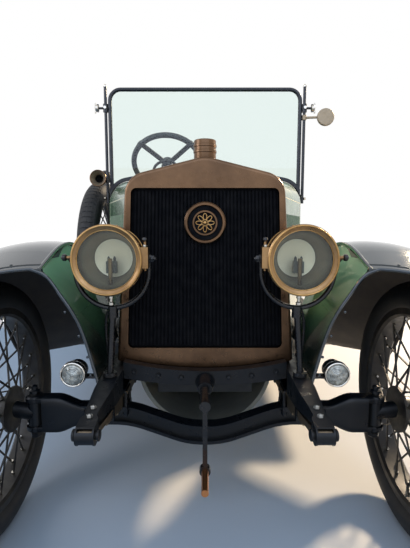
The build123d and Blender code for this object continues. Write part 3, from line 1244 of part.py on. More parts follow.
export("frame", frame().fuse(*spring_hangers()))
export("front_crossmember", front_crossmember())
export("front_axle", front_axle())
export("front_springs", front_springs())
export("rear_springs", rear_springs())
export("rear_axle", rear_axle())
export("knuckle_left", knuckle_left)
export("knuckle_right", knuckle_right)
export("tie_rod", tie_rod())
export("engine", engine())
export("undertray", undertray())
export("exhaust", exhaust())
export("crank", crank())
export("radiator_shell", radiator_shell())
export("radiator_core", radiator_core())
export("radiator_cap", radiator_cap())
export("radiator_badge", radiator_badge())
export("headlamps", Compound(children=both_sides(headlamp())))
export("headlamp_glass", Compound(children=both_sides(headlamp_glass())))
export("lamp_brackets", Compound(children=both_sides(lamp_bracket())))
export("side_lamps", Compound(children=both_sides(side_lamp())))
export("bonnet_left", flap_left)
export("bonnet_right", flap_right)
export("valance_left", panel_left)
export("valance_right", panel_right)
export("bonnet_rod", bonnet_rod())
export("scuttle", scuttle())
export("dashboard", dashboard())
export("body_tub", body_tub(outer, cockpit, boot, [*door_pins, *lid_pins]))
export("floor", cabin_floor())
export("door_left", (skin & door_box(MOVING_GAP)).fuse(*door_leaves))
export("boot_lid", (skin & lid_box(MOVING_GAP)).fuse(*lid_leaves))
export("seat_box", seat_box())
export("seat_cushion", seat_cushion())
export("seat_back", seat_back())
export("windscreen_frame", windscreen_frame())
export("windscreen_glass", screen_pane(0.0))
export("mirror", post_mirror())
export("horn", horn())
export("steering_column", column())
export("steering_wheel", steering_wheel())
export("front_wings", Compound(children=both_sides(front_wing())))
export("rear_wings", Compound(children=both_sides(rear_wing())))
export("running_boards", Compound(children=both_sides(running_board())))
export("folded_hood", folded_hood())
export("pedals", pedals())
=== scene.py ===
"""An early open two-seater: finishes, fine parts, soft goods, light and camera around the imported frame."""

import json
import math

import bpy
import numpy as np
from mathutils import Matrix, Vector
from mathutils.bvhtree import BVHTree


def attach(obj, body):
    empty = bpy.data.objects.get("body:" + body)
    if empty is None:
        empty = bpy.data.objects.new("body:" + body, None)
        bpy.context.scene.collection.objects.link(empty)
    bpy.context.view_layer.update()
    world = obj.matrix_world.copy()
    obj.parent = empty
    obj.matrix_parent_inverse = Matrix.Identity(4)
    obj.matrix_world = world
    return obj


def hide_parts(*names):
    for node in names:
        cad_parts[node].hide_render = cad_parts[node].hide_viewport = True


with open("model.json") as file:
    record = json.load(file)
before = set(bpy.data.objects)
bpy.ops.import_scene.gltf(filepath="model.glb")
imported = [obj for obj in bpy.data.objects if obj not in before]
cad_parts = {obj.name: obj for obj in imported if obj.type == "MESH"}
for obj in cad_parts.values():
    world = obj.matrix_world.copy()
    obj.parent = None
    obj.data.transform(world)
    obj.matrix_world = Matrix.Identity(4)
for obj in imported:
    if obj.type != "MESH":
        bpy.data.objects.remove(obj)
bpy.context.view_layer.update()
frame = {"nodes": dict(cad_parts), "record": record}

# The car is drawn in millimetres from the ground below the front axle, as in the part's source. The
# shared frame is in metres and has the plan's centre at its origin, SHIFT from the axle.
SHIFT = -1.262
# Centres of the left hubs, kingpin, front spring, headlamp and screen clamp, and of what stands alone.
HUB_X, HUB_Z, REAR_Y = 590.0, 355.0, 2350.0
PIN_X, AXLE_Z = 470.0, 345.0
SPRING_X = 235.0
LAMP = np.array([223.0, -168.0, 780.0])
POST_X, SCREEN_Y, CLAMP_Z = 433.0, 772.0, 1370.0
SPARE = (-506.0, 985.0, 725.0)
HORN_X, HORN_Z = -455.0, 1062.0
BADGE_Z = 866.0

# What a colour Mix node needs so that sockets 6 and 7 are its two colours.
BLEND = {"out": 2, "data_type": "RGBA"}


def linear(code):
    """sRGB hex code to a linear colour with alpha, by the sRGB curve."""
    srgb = np.array([int(code[i : i + 2], 16) for i in (0, 2, 4)]) / 255
    return (*np.where(srgb <= 0.04045, srgb / 12.92, ((srgb + 0.055) / 1.055) ** 2.4), 1.0)


class Nodes:
    """The nodes of a material or a world, with the one function that adds a node."""

    def __init__(self, owner):
        owner.use_nodes = True
        self.owner = owner
        self.tree = owner.node_tree
        self.coordinates = self.tree.nodes.new("ShaderNodeTexCoord").outputs
        self.place = self.coordinates["Object"]

    def put(self, socket, value):
        """Link a socket where value is another node's output, or else set it; a string is a hex colour."""
        if isinstance(value, bpy.types.NodeSocket):
            self.tree.links.new(value, socket)
        else:
            socket.default_value = linear(value) if isinstance(value, str) else value

    def add(self, kind, inputs, out=0, stops=(), **settings):
        """Add a node with its settings, links and the (place, hex or grey) rows of its ramp, and return
        one of its outputs."""
        node = self.tree.nodes.new("ShaderNode" + kind)
        for key, value in settings.items():
            setattr(node, key, value)
        for key, value in inputs.items():
            self.put(node.inputs[key], value)
        if stops:
            elements = node.color_ramp.elements
            while len(elements) < len(stops):
                elements.new(1.0)
            for element, (at, colour) in zip(elements, stops):
                element.position = at
                element.color = linear(colour) if isinstance(colour, str) else (*[colour] * 3, 1.0)
        return node.outputs[out]

    def patches(self, size, detail, stops, rough=0.5):
        """Fractal patches of about size millimetres, spread by the rows of a ramp."""
        shape = {"Vector": self.place, "Scale": 1000 / size, "Detail": detail, "Roughness": rough}
        return self.add("ValToRGB", {"Fac": self.add("TexNoise", shape)}, stops=stops)

    def unevenness(self, size, detail, depth, strength, under=None):
        """Fractal bumps of about size millimetres, depth millimetres deep, over another normal."""
        shape = {"Vector": self.place, "Scale": 1000 / size, "Detail": detail}
        rise = {"Height": self.add("TexNoise", shape), "Distance": depth / 1000, "Strength": strength}
        return self.add("Bump", rise if under is None else {**rise, "Normal": under})

    def hollows(self, low, high):
        """1 deep in a hollow to 0 in the open, from the ambient occlusion within 30 mm."""
        open_to = self.add("AmbientOcclusion", {"Distance": 0.03}, "AO", samples=6)
        return self.add("ValToRGB", {"Fac": open_to}, stops=[(low, 1.0), (high, 0.0)])

    def surface(self, **values):
        """Set the shader's sockets, with spaces written as underscores, and return the material."""
        for key, value in values.items():
            self.put(self.tree.nodes["Principled BSDF"].inputs[key.replace("_", " ")], value)
        return self.owner


def new_finish(name):
    """The nodes of a new material."""
    return Nodes(bpy.data.materials.new(name))


def coach_enamel(name, base, deep, rough=0.13, dust_film_and_painted_shade=None, coat=0.7):
    """Coach enamel, brushed on by hand and varnished: sharp lights that wander over faint waves, dust in
    the hollows and, where two heights in metres are given, painted shade: the colour goes over to a dark
    blue-green below the lower height and fades out by the upper one."""
    m = new_finish(name)
    faded = m.patches(333, 4.0, [(0.35, 0.0), (0.7, 1.0)])
    colour = m.add("Mix", {0: faded, 6: base, 7: deep}, **BLEND)
    if dust_film_and_painted_shade:
        # Painted shade: below the lower height the colour is almost all dark blue-green 0C1819, fading to
        # none at the upper height.
        height = m.add("SeparateXYZ", {0: m.place}, "Z")
        thick = m.add("MapRange", {0: height, 1: dust_film_and_painted_shade[0], 2: dust_film_and_painted_shade[1], 3: 0.97, 4: 0.0})
        colour = m.add("Mix", {0: thick, 6: colour, 7: "0C1819"}, **BLEND)
    return m.surface(
        Base_Color=m.add("Mix", {0: m.hollows(0.35, 0.85), 6: colour, 7: "3B3A2E"}, **BLEND),
        Coat_Weight=coat,
        Coat_Roughness=0.06,
        Roughness=m.patches(38.5, 5.0, [(0.3, rough), (0.75, rough + 0.14)]),
        Normal=m.unevenness(2.38, 2.0, 0.03, 0.5, m.unevenness(111, 2.0, 1.2, 0.35)),
    )


def worn_brass(name, bright, brown, amount):
    """Brass, spun and polished, that the weather has browned: smoky patches over yellow metal, darkest
    in the hollows."""
    m = new_finish(name)
    smoke = m.patches(91, 6.0, [(0.5 - amount * 0.4, 0.0), (0.78 - amount * 0.25, 1.0)], 0.62)
    colour = m.add("Mix", {0: smoke, 6: brown, 7: bright}, **BLEND)
    return m.surface(
        Base_Color=m.add("Mix", {0: m.hollows(0.3, 0.9), 6: colour, 7: "2A1C0E"}, **BLEND),
        Metallic=1.0,
        Roughness=m.patches(16.7, 6.0, [(0.3, 0.24), (0.8, 0.42)], 0.6),
        Normal=m.unevenness(55.6, 3.0, 0.9, 0.4, m.unevenness(1.11, 2.0, 0.02, 0.6)),
    )


def painted_iron(name, base, dust, rough=0.34, dirt=0.5, shine=0.5):
    """Iron or sheet steel, brushed with chassis paint or stoved: a dark satin skin, slightly uneven,
    with road dust lying on it."""
    m = new_finish(name)
    dusty = m.patches(71.4, 6.0, [(0.45, 0.0), (0.8, dirt)], 0.65)
    colour = m.add("Mix", {0: dusty, 6: base, 7: dust}, **BLEND)
    return m.surface(
        Base_Color=m.add("Mix", {0: m.hollows(0.3, 0.9), 6: colour, 7: dust}, **BLEND),
        Roughness=m.patches(25, 5.0, [(0.3, rough), (0.8, rough + 0.3)]),
        Specular_IOR_Level=shine,
        Normal=m.unevenness(3.85, 4.0, 0.12, 0.6),
    )


def metal(name, base, rough, spread=0.12, dark="15130F"):
    """Bare or plated metal, turned and buffed: lights blurred by fine scratches, grime in the hollows.
    The scratches are drawn 0.83 mm apart, coarser than real ones, so that they show."""
    m = new_finish(name)
    return m.surface(
        Base_Color=m.add("Mix", {0: m.hollows(0.25, 0.85), 6: base, 7: dark}, **BLEND),
        Metallic=1.0,
        Roughness=m.patches(14.3, 6.0, [(0.3, rough), (0.8, rough + spread)]),
        Normal=m.unevenness(0.833, 2.0, 0.02, 0.5),
    )


def rubber(name, base, dust, amount):
    """Rubber, moulded and cured, or dirt as dry as it: matt, with dust rubbed into a fine tooth."""
    m = new_finish(name)
    dusty = m.patches(45.5, 6.0, [(0.4, 0.0), (0.85, amount)], 0.6)
    return m.surface(
        Base_Color=m.add("Mix", {0: dusty, 6: base, 7: dust}, **BLEND),
        Roughness=0.62,
        Normal=m.unevenness(2, 3.0, 0.12, 0.7),
    )


def hide(name, base, dark):
    """Cowhide, tanned and dyed: a soft sheen over pebbles of 1.6 mm, darker in its creases."""
    m = new_finish(name)
    pebbles = {"Vector": m.place, "Scale": 1000 / 1.61}
    cells = m.add("TexVoronoi", pebbles, "Distance", feature="DISTANCE_TO_EDGE")
    domes = m.add("ValToRGB", {"Fac": cells}, stops=[(0.0, 0.0), (0.35, 1.0)])
    tone = m.patches(62.5, 5.0, [(0.35, 0.0), (0.75, 1.0)])
    colour = m.add("Mix", {0: tone, 6: base, 7: dark}, **BLEND)
    soft = m.unevenness(16.7, 4.0, 0.8, 0.4)
    return m.surface(
        Base_Color=m.add("Mix", {0: m.hollows(0.3, 0.8), 6: colour, 7: "120806"}, **BLEND),
        Roughness=m.patches(33.3, 4.0, [(0.3, 0.36), (0.8, 0.55)]),
        Normal=m.add("Bump", {"Height": domes, "Distance": 0.00022, "Strength": 0.7, "Normal": soft}),
    )


def woven(name, base, dark):
    """Cotton canvas, woven plain and proofed: matt with a faint bloom. Its threads lie 1.43 mm apart,
    about twice as coarse as real ones, so that they show."""
    m = new_finish(name)
    # A Wave texture goes through 20 radians for each unit of its scale.
    threads = {"Vector": m.place, "Scale": 2 * math.pi / 20 / 0.001428}
    warp = m.add("TexWave", threads, bands_direction="X")
    weft = m.add("TexWave", threads, bands_direction="Z")
    weave = m.add("Mix", {0: 0.5, 6: warp, 7: weft}, **BLEND)
    tone = m.patches(83.3, 6.0, [(0.35, 0.0), (0.8, 1.0)])
    return m.surface(
        Base_Color=m.add("Mix", {0: tone, 6: base, 7: dark}, **BLEND),
        Roughness=0.88,
        Sheen_Weight=0.25,
        Normal=m.add("Bump", {"Height": weave, "Distance": 0.0002, "Strength": 0.5}),
    )


def timber(name, light, dark, along="Y", gloss=0.3):
    """Hardwood, planed and varnished or scrubbed: streaks of grain along one axis, 14 times as long as
    they are wide."""
    m = new_finish(name)
    stretch = [1.0 if axis == along else 14.0 for axis in "XYZ"]
    drawn_out = m.add("Mapping", {"Vector": m.place, "Scale": stretch})
    grain = m.add("TexNoise", {"Vector": drawn_out, "Scale": 1000 / 167, "Detail": 8.0, "Roughness": 0.65})
    return m.surface(
        Base_Color=m.add("ValToRGB", {"Fac": grain}, stops=[(0.3, dark), (0.52, light), (0.75, dark)]),
        Roughness=gloss,
        Coat_Weight=0.4,
        Coat_Roughness=0.15,
        Normal=m.add("Bump", {"Height": grain, "Distance": 0.0003, "Strength": 0.4}),
    )


def pane(name, tint, dust):
    """Plate glass, ground and polished: clear with a faint green, sharp reflections off its outer side,
    and a thin film of dust in patches."""
    m = new_finish(name)
    m.surface(Base_Color=tint, Roughness=0.02, IOR=1.5, Transmission_Weight=1.0)
    dust_film_and_painted_shade = m.patches(71.4, 6.0, [(0.4, 0.02), (0.9, dust)], 0.6)
    clear = m.add("BsdfTransparent", {"Color": "F2F8F5"})
    gloss = m.add("BsdfGlossy", {"Color": "FFFFFF", "Roughness": 0.02})
    chalk = m.add("BsdfDiffuse", {"Color": "B9B29C"})
    edge = m.add("Fresnel", {"IOR": 1.5})
    outside = m.add("Math", {0: 1.0, 1: m.add("NewGeometry", {}, "Backfacing")}, operation="SUBTRACT")
    share = m.add("Math", {0: edge, 1: outside}, operation="MULTIPLY")
    sheen = m.add("MixShader", {0: share, 1: clear, 2: gloss})
    dusted = m.add("MixShader", {0: dust_film_and_painted_shade, 1: sheen, 2: chalk})
    m.put(m.tree.nodes["Material Output"].inputs["Surface"], dusted)
    return m.owner


def pressed_glass(name):
    """Glass, pressed in a ribbed mould, with a bright back behind it: milky streaks under a clear coat."""
    m = new_finish(name)
    streaks = m.patches(11.1, 3.0, [(0.35, "6E6C62"), (0.7, "C6C4B6")])
    return m.surface(Base_Color=streaks, Roughness=0.12, Coat_Weight=1.0, Metallic=0.35)


def even(name, code, rough):
    """Paint or glass on a mark so small that only its colour and gloss show."""
    return new_finish(name).surface(Base_Color=code, Roughness=rough)


# Coachwork: the body's enamel has gone a little dull, the aprons are a lighter green that is painted
# sunlight, with painted shade darkening their foot, and the wings are nearly black with a full gloss.
BODY = coach_enamel("sage_green_coach_enamel", "56764F", "466342", 0.16, coat=0.35)
# Painted light: the aprons' green is the body's green lightened as if in sunlight, with painted shade at the
# foot.
APRON = coach_enamel("apron_enamel_with_painted_light_and_shade", "84B47A", "5C8A5E", 0.14, (0.57, 0.77))
WING = coach_enamel("blue_green_wing_enamel", "10272E", "0B1B22", 0.08)
# Brass: brown all over on the radiator, rubbed brighter on the lamp rims, brightest on small trim.
BRASS = worn_brass("browned_satin_brass", "755B45", "5C4838", 0.35)
BEZEL = worn_brass("satin_lamp_brass", "A88760", "836646", 0.3)
BRASS_BRIGHT = worn_brass("rubbed_brass", "CDA66C", "9A7648", 0.2)
# Paint on iron and sheet steel: the core swallows light, stove enamel is glossy, the chassis and screen
# show blue in their lights, the wheels and castings are dull with dust, and the undertray's olive grey
# is lightened as painted light, to make up for the shade under the car.
CORE = painted_iron("black_core_enamel", "010206", "050609", 0.8, 0.2, 0.2)
BLACK = painted_iron("gloss_black_stove_enamel", "06070A", "24221F", 0.14, 0.1)
CHASSIS = painted_iron("blue_black_chassis_enamel", "04090F", "1E1D1A", 0.24, 0.18, 0.3)
SCREEN = painted_iron("blue_black_enamel", "0D141E", "2B2A28", 0.18, 0.12)
IRON = painted_iron("cast_iron_grey", "3C3D3C", "2A2620", 0.5)
# Painted light: the undertray's dark olive lightened to a pale olive grey, to make up for the shade under
# the car.
PAN = painted_iron("painted_light_olive_grey_sheet", "8E8B7C", "A39B82", 0.4, 0.5)
RIM = painted_iron("stove_enamelled_wheel", "1A1613", "5A5140", 0.35, 0.5)
# Bare and plated metal: spring steel rubbed brown, nickel bright, copper warm, aluminium grey, and the
# insides of the lamps dulled, so that they scatter light instead of mirroring it.
STEEL = metal("dusty_spring_steel", "857662", 0.4)
NICKEL = metal("polished_nickel_plate", "C9C4BA", 0.12, 0.1)
COPPER = metal("rubbed_copper_tube", "C08355", 0.3, 0.12)
ALLOY = metal("dulled_aluminium_strip", "A9A9A4", 0.36, 0.15)
REFLECTOR = metal("dulled_silvered_reflector", "F6E2CE", 0.5, 0.1, "A8A498")
CONE = metal("dulled_lamp_cone", "A0937F", 0.55, 0.15)
# Rubber and dry dirt: black treads gone grey-brown in patches, and mud under the wings.
TYRE = rubber("moulded_tyre_rubber", "0C0D0F", "3D3831", 0.4)
MAT = rubber("ribbed_board_mat", "17181A", "55503F", 0.5)
DIRT = rubber("road_dirt_under_wings", "231D18", "43392D", 0.6)
# Hide, canvas and timber: red-brown and pebbled, drab and woven, and brown with long grain.
LEATHER = hide("buttoned_brown_hide", "4A2416", "32160D")
HIDE_TRIM = hide("dark_hide_trim", "32180F", "1E0F09")
CANVAS = woven("folded_proofed_canvas", "3B372F", "27241F")
WOOD = timber("varnished_mahogany", "6E3B1E", "3E1D0E", "X")
PLANK = timber("scrubbed_ash_boards", "8A6B45", "5E4529", "Y", 0.6)
# Glass: the screen nearly clear, the lamp glasses dustier, the low lamps' glasses milky.
GLASS = pane("plate_glass", "F4FBF8", 0.025)
LENS = pane("lamp_glass", "F2F4EC", 0.07)
RIBBED = pressed_glass("pressed_lamp_glass")
# Small marks: lining paint, enamelled dials, black openings, and ruby glass with a wet gloss.
CREAM = even("cream_coachline", "D9CFA8", 0.35)
IVORY = even("ivory_dial", "D8D2BE", 0.4)
DARK = even("dark_opening", "050505", 0.8)
RUBY = even("ruby_lamp_glass", "7A0E0C", 0.08)
SLOTS = {
    "body_paint": BODY,
    "brass": BRASS,
    "core_black": CORE,
    "black_enamel": BLACK,
    "chassis_paint": CHASSIS,
    "screen_paint": SCREEN,
    "bare_steel": STEEL,
    "nickel": NICKEL,
    "iron": IRON,
    "pan_grey": PAN,
    "tyre_rubber": TYRE,
    "wheel_enamel": RIM,
    "glass": GLASS,
    "leather": LEATHER,
    "hood_cloth": CANVAS,
    "wood": WOOD,
    "board_cover": MAT,
}
OWN = {
    "front_wings": WING,
    "rear_wings": WING,
    "floor": PLANK,
    "headlamps": BEZEL,
    "headlamp_glass": LENS,
    "horn": BLACK,
    "front_crossmember": CHASSIS,
    "mirror": CONE,
}
for part in frame["record"]["subparts"]:
    node = frame["nodes"][part["node"]]
    node.data.materials.clear()
    node.data.materials.append(OWN.get(part["node"], SLOTS[part["material_slot"]]))


def rows_of(items, key, width=3):
    """One property of a mesh's points or faces, as rows."""
    flat = np.empty(width * len(items))
    items.foreach_get(key, flat)
    return flat.reshape(-1, width)


def second_finish(name, material, chosen):
    """A second finish on the faces of a CAD node that chosen picks by their centres and normals, each
    given as three rows x, y and z, in millimetres."""
    mesh = frame["nodes"][name].data
    mesh.materials.append(material)
    centres = (rows_of(mesh.polygons, "center") - (0, SHIFT, 0)) * 1000
    picked = chosen(centres.T, rows_of(mesh.polygons, "normal").T)
    slots = rows_of(mesh.polygons, "material_index", 1).ravel().astype(np.int32)
    slots[picked] = len(mesh.materials) - 1
    mesh.polygons.foreach_set("material_index", slots)


def faces_wheel(hub_y):
    """Picks a wing's faces that look to the wheel's hub: their normals lie within about 70 degrees of
    the way there."""

    def chosen(c, n):
        inward = np.stack([np.copysign(HUB_X, c[0]) - c[0], hub_y - c[1], HUB_Z - c[2]])
        return (abs(c[0]) > 380) & ((n * inward).sum(0) > 0.35 * np.linalg.norm(inward, axis=0))

    return chosen


second_finish("front_wings", DIRT, faces_wheel(0.0))
# The aprons' inner faces: their lighter green is painted sunlight and their darker foot is painted shade.
second_finish("front_wings", APRON, lambda c, n: (abs(c[0]) < 383) & (n[0] * c[0] < 0) & (c[2] > 440))
second_finish("rear_wings", DIRT, faces_wheel(REAR_Y))
second_finish("radiator_badge", CORE, lambda c, n: (np.hypot(c[0], c[2] - BADGE_Z) < 43.5) & (c[1] > -21.4))
second_finish("crank", COPPER, lambda c, n: (c[1] < -206) & (c[2] < 310))
second_finish("horn", CONE, lambda c, n: (c[1] < 714) & (np.hypot(c[0] - HORN_X, c[2] - HORN_Z) < 33.5))


def square_to(axis):
    """Two unit vectors at right angles to an axis."""
    axis = np.asarray(axis, float)
    upright = abs(axis[2]) >= 0.9 * np.linalg.norm(axis)
    u = np.cross((0.0, 1.0, 0.0) if upright else (0.0, 0.0, 1.0), axis)
    u /= np.linalg.norm(u)
    return u, np.cross(axis, u) / np.linalg.norm(axis)


def unit_circle(axis, count):
    """Points round a circle of radius 1 about an axis: the cosine along one vector square to it, the
    sine along the other."""
    u, v = square_to(axis)
    turn = np.linspace(0, 2 * np.pi, count, endpoint=False)[:, None]
    return np.cos(turn) * u + np.sin(turn) * v


def ring_points(centre, radius, axis, count=64):
    """Points round a circle about an axis."""
    return np.asarray(centre) + radius * unit_circle(axis, count)


def smooth(points, steps=8):
    """A Catmull-Rom curve: between two points, the cubic that their two neighbours bend."""
    p = np.asarray(points, float)
    p = np.vstack([2 * p[0] - p[1], p, 2 * p[-1] - p[-2]])
    a, b, c, d = (p[i : len(p) - 3 + i, None] for i in range(4))
    t = np.linspace(0, 1, steps, endpoint=False)[:, None]
    curve = 2 * b + (c - a) * t + (2 * a - 5 * b + 4 * c - d) * t * t
    curve = 0.5 * (curve + (3 * b - a - 3 * c + d) * t**3)
    return np.vstack([curve.reshape(-1, 3), p[-2]])


def linked(name, mesh):
    """A new object with this mesh, in the scene."""
    obj = bpy.data.objects.new(name, mesh)
    bpy.context.scene.collection.objects.link(obj)
    return obj


class Batch:
    """Closed shapes gathered into one mesh, in millimetres from the ground below the front axle."""

    def __init__(self):
        self.points = []
        self.faces = []
        self.count = 0

    def put(self, points, quads, ends=()):
        """Add points, quads and end faces, with the corners of the faces counted from zero."""
        for faces in (quads, ends):
            self.faces += (np.asarray(faces, int) + self.count).tolist()
        self.points.append(np.asarray(points, float).reshape(-1, 3))
        self.count += len(self.points[-1])

    def grid(self, points, close_u=False, close_v=False, caps=False):
        """Add a grid of points[u][v] as quads, joined round where closed, with flat ends if caps."""
        n, m = np.shape(points)[:2]
        i, j = np.indices((n if close_u else n - 1, m if close_v else m - 1))
        near, far = i * m, (i + 1) % n * m
        beside = (j + 1) % m
        quads = np.stack([near + j, near + beside, far + beside, far + j], axis=2).reshape(-1, 4)
        rim = np.arange(m)
        self.put(points, quads, [rim[::-1], (n - 1) * m + rim] if caps else ())

    def lathe(self, profile, centre, axis, sides=48, ring=False):
        """Turn (radius, along) rows round an axis; the ends are capped unless the profile is a ring."""
        axis = np.asarray(axis, float) / np.linalg.norm(axis)
        radius, along = np.array(profile, float).T[:, :, None, None]
        rows = np.asarray(centre) + axis * along + unit_circle(axis, sides) * np.maximum(radius, 0.01)
        self.grid(rows, close_u=ring, close_v=True, caps=not ring)

    def tube(self, path, radius, sides=12, closed=False):
        """A round bar along a path, its section carried on from point to point without twist; radius
        is one value or one for each point."""
        path = np.asarray(path, float)
        ahead = np.roll(path, -1, 0) - path
        behind = path - np.roll(path, 1, 0)
        if not closed:
            ahead[-1], behind[0] = behind[-1], ahead[0]
        tangent = sum(way / np.linalg.norm(way, axis=1)[:, None] for way in (ahead, behind))
        tangent /= np.linalg.norm(tangent, axis=1)[:, None]
        across = [square_to(tangent[0])[0]]
        for along in tangent:
            u = across[-1] - along * np.dot(across[-1], along)
            across.append(u / np.linalg.norm(u))
        u = np.array(across[1:])[:, None]
        v = np.cross(tangent[:, None], u)
        turn = np.linspace(0, 2 * np.pi, sides, endpoint=False)[:, None]
        thick = np.broadcast_to(radius, len(path))[:, None, None]
        rows = path[:, None] + thick * (np.cos(turn) * u + np.sin(turn) * v)
        self.grid(rows, close_u=closed, close_v=True, caps=not closed)

    def box(self, low, high):
        """A block between two corners."""
        points = [(x, y, z) for x in (low[0], high[0]) for y in (low[1], high[1]) for z in (low[2], high[2])]
        quads = [(0, 1, 3, 2), (4, 6, 7, 5), (0, 4, 5, 1), (2, 3, 7, 6), (0, 2, 6, 4), (1, 5, 7, 3)]
        self.put(points, quads)

    def nut(self, centre, axis, across, height):
        """A hexagon head with a chamfered top, its base at centre."""
        r = across / math.sqrt(3)
        self.lathe([(r, -1), (r, height * 0.8), (r * 0.86, height)], centre, axis, 6)

    def dome(self, centre, axis, radius, height, sides=10):
        """A rivet head, a quarter ellipse turned round its axis, with its base at centre."""
        steps = np.linspace(0, np.pi / 2, 4)
        profile = [(radius, -1.0), *zip(radius * np.cos(steps), height * np.sin(steps))]
        self.lathe(profile, centre, axis, sides)

    def strip(self, path, normals, width, height):
        """A raised band along a path, lying square to the normals, with its top 0.85 as wide."""
        path, normals = np.asarray(path, float), np.asarray(normals, float)
        side = np.cross(np.gradient(path, axis=0), normals)
        side *= width / 2 / np.linalg.norm(side, axis=1)[:, None]
        low, high = -0.4 * normals, height * normals
        rows = [path - side + low, path - side * 0.85 + high, path + side * 0.85 + high, path + side + low]
        self.grid(np.stack(rows, axis=1), close_v=True, caps=True)

    def make(self, name, material, slot, body="chassis", angle=32.0, both=False):
        """The finished object, riding on a body, with its edges sharp above the angle; both adds the
        mirror image across the centreline."""
        if both:
            self.faces += [[i + self.count for i in reversed(face)] for face in self.faces]
            self.points.append(np.vstack(self.points) * (-1, 1, 1))
        points = np.vstack(self.points) / 1000 + (0, SHIFT, 0)
        mesh = bpy.data.meshes.new(name)
        mesh.from_pydata(points.tolist(), [], self.faces)
        mesh.update()
        mesh.shade_smooth()
        mesh.set_sharp_from_angle(angle=math.radians(angle))
        mesh.materials.append(material)
        obj = linked(name, mesh)
        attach(obj, body)
        return obj


# Columns: name's ending, x, y, z of the hub, side (+1 left), body
WHEELS = [
    ("front_left", HUB_X, 0.0, HUB_Z, 1, "road_wheel_front_left"),
    ("front_right", -HUB_X, 0.0, HUB_Z, -1, "road_wheel_front_right"),
    ("rear_left", HUB_X, REAR_Y, HUB_Z, 1, "road_wheel_rear_left"),
    ("rear_right", -HUB_X, REAR_Y, HUB_Z, -1, "road_wheel_rear_right"),
    ("spare", *SPARE, -1, "chassis"),
]


def tyre(name, x, y, z, body):
    """A round tyre about the hub: radius falls off as a circle of the section, with shallow ribs
    round the tread, a moulded bead line on each wall, and 84 bars across the tread, each bar a step
    in the section's radius that fades out at the shoulder."""
    middle, half, bars = 310.0, 45.0, 84
    around = np.radians(np.linspace(-50, 230, 57))
    from_top = np.abs(np.degrees(around) - 90)
    ribs = np.where(from_top < 42, 0.9 * np.cos(30 * np.radians(from_top)) - 0.9, 0.0)
    section = half + ribs + np.where(np.abs(from_top - 62) < 2.6, 0.8, 0.0)
    beads = [(277.0, -22.0), (272.0, -26.0), (272.0, 26.0), (277.0, 22.0)]
    walls = np.stack([middle + section * np.sin(around), section * np.cos(around)], axis=1)
    radius, across = np.vstack([walls, beads]).T
    angle = np.arctan2(radius - middle, across)
    shoulder = np.clip((44 - np.abs(np.degrees(angle) - 90)) / 6, 0, 1)
    turn = 2 * np.pi * (np.arange(bars)[:, None] + [0.0, 0.66, 0.73, 0.93]).ravel() / bars
    groove = np.tile([0.0, 0.0, 1.0, 1.0], bars) * 2.4 * shoulder[:, None]
    out = radius[:, None] - groove * np.sin(angle)[:, None]
    side = across[:, None] - groove * np.cos(angle)[:, None]
    b = Batch()
    ring = np.stack([x + side, y + out * np.sin(turn), z + out * np.cos(turn)], axis=2)
    b.grid(ring, close_u=True, close_v=True)
    obj = b.make("ribbed_tyre_" + name, TYRE, "tyre_rubber", body, 50)
    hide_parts("tyre_" + name)


def wheel_fittings(name, x, y, z, side, body):
    """Spoke nipples round the rim, the valve with its cap and the hub's cap nut and flange bolts."""
    b = Batch()
    hub = (x, y, z)
    for flange in (-1, 1):
        for i in range(20):
            a = math.radians(360 * (i + 0.25 * (side * flange + 1)) / 20)
            out = np.array([0, math.cos(a), math.sin(a)])
            b.tube([(x + flange * 9, y, z) + out * r for r in (246, 256)], 4.2, 8)
    valve = 1.9
    out = np.array([0, math.cos(valve), math.sin(valve)])
    b.tube([hub + out * 216, hub + out * 256], 4.0, 10)
    b.tube([hub + out * 206, hub + out * 222], 5.6, 10)
    for i in range(6):
        a = math.radians(60 * i + 12)
        at = (x + side * 62, y + 41 * math.cos(a), z + 41 * math.sin(a))
        b.nut(at, (side, 0, 0), 11, 6)
    cap = [(30, 0), (30, 6), (24, 8), (24, 32), (22, 37), (14, 42), (12, 43), (12, 50), (8, 52)]
    b.lathe(cap, (x + side * 65, y, z), (side, 0, 0), 6)
    b.make("nipples_and_cap_" + name, NICKEL, "nickel", body)


def core_fins():
    """Thin cooling fins between the tubes, 5 mm apart, each as wide as the core at its height: the
    half width goes evenly from the bottom tank's to the top tank's."""
    tanks, halves = (534, 955), (204, 188)
    b = Batch()
    for z in np.arange(539.0, 951.0, 5.0):
        half = np.interp(z, tanks, halves)
        b.box((-half, -8.6, z), (half, -5.0, z + 0.7))
    b.make("core_cooling_fins", CORE, "core_black")


def ornament():
    """A plain rosette inside the badge's rings: eight petals, each an ellipse with its long axis
    outwards, and a round boss."""
    b = Batch()
    y, z = -19.6, BADGE_Z
    turn = np.linspace(0, 2 * math.pi, 18, endpoint=False)
    out, aside = 15.5 + 8.5 * np.cos(turn), 4.6 * np.sin(turn)
    for a in math.pi / 4 * np.arange(8):
        x, up = out * math.cos(a) - aside * math.sin(a), out * math.sin(a) + aside * math.cos(a)
        b.tube(np.stack([x, np.full(18, y), z + up], axis=1), 1.3, 8, closed=True)
    b.dome((0, y, z), (0, -1, 0), 5.0, 4.0, 16)
    b.make("badge_rosette", BRASS_BRIGHT, "brass")


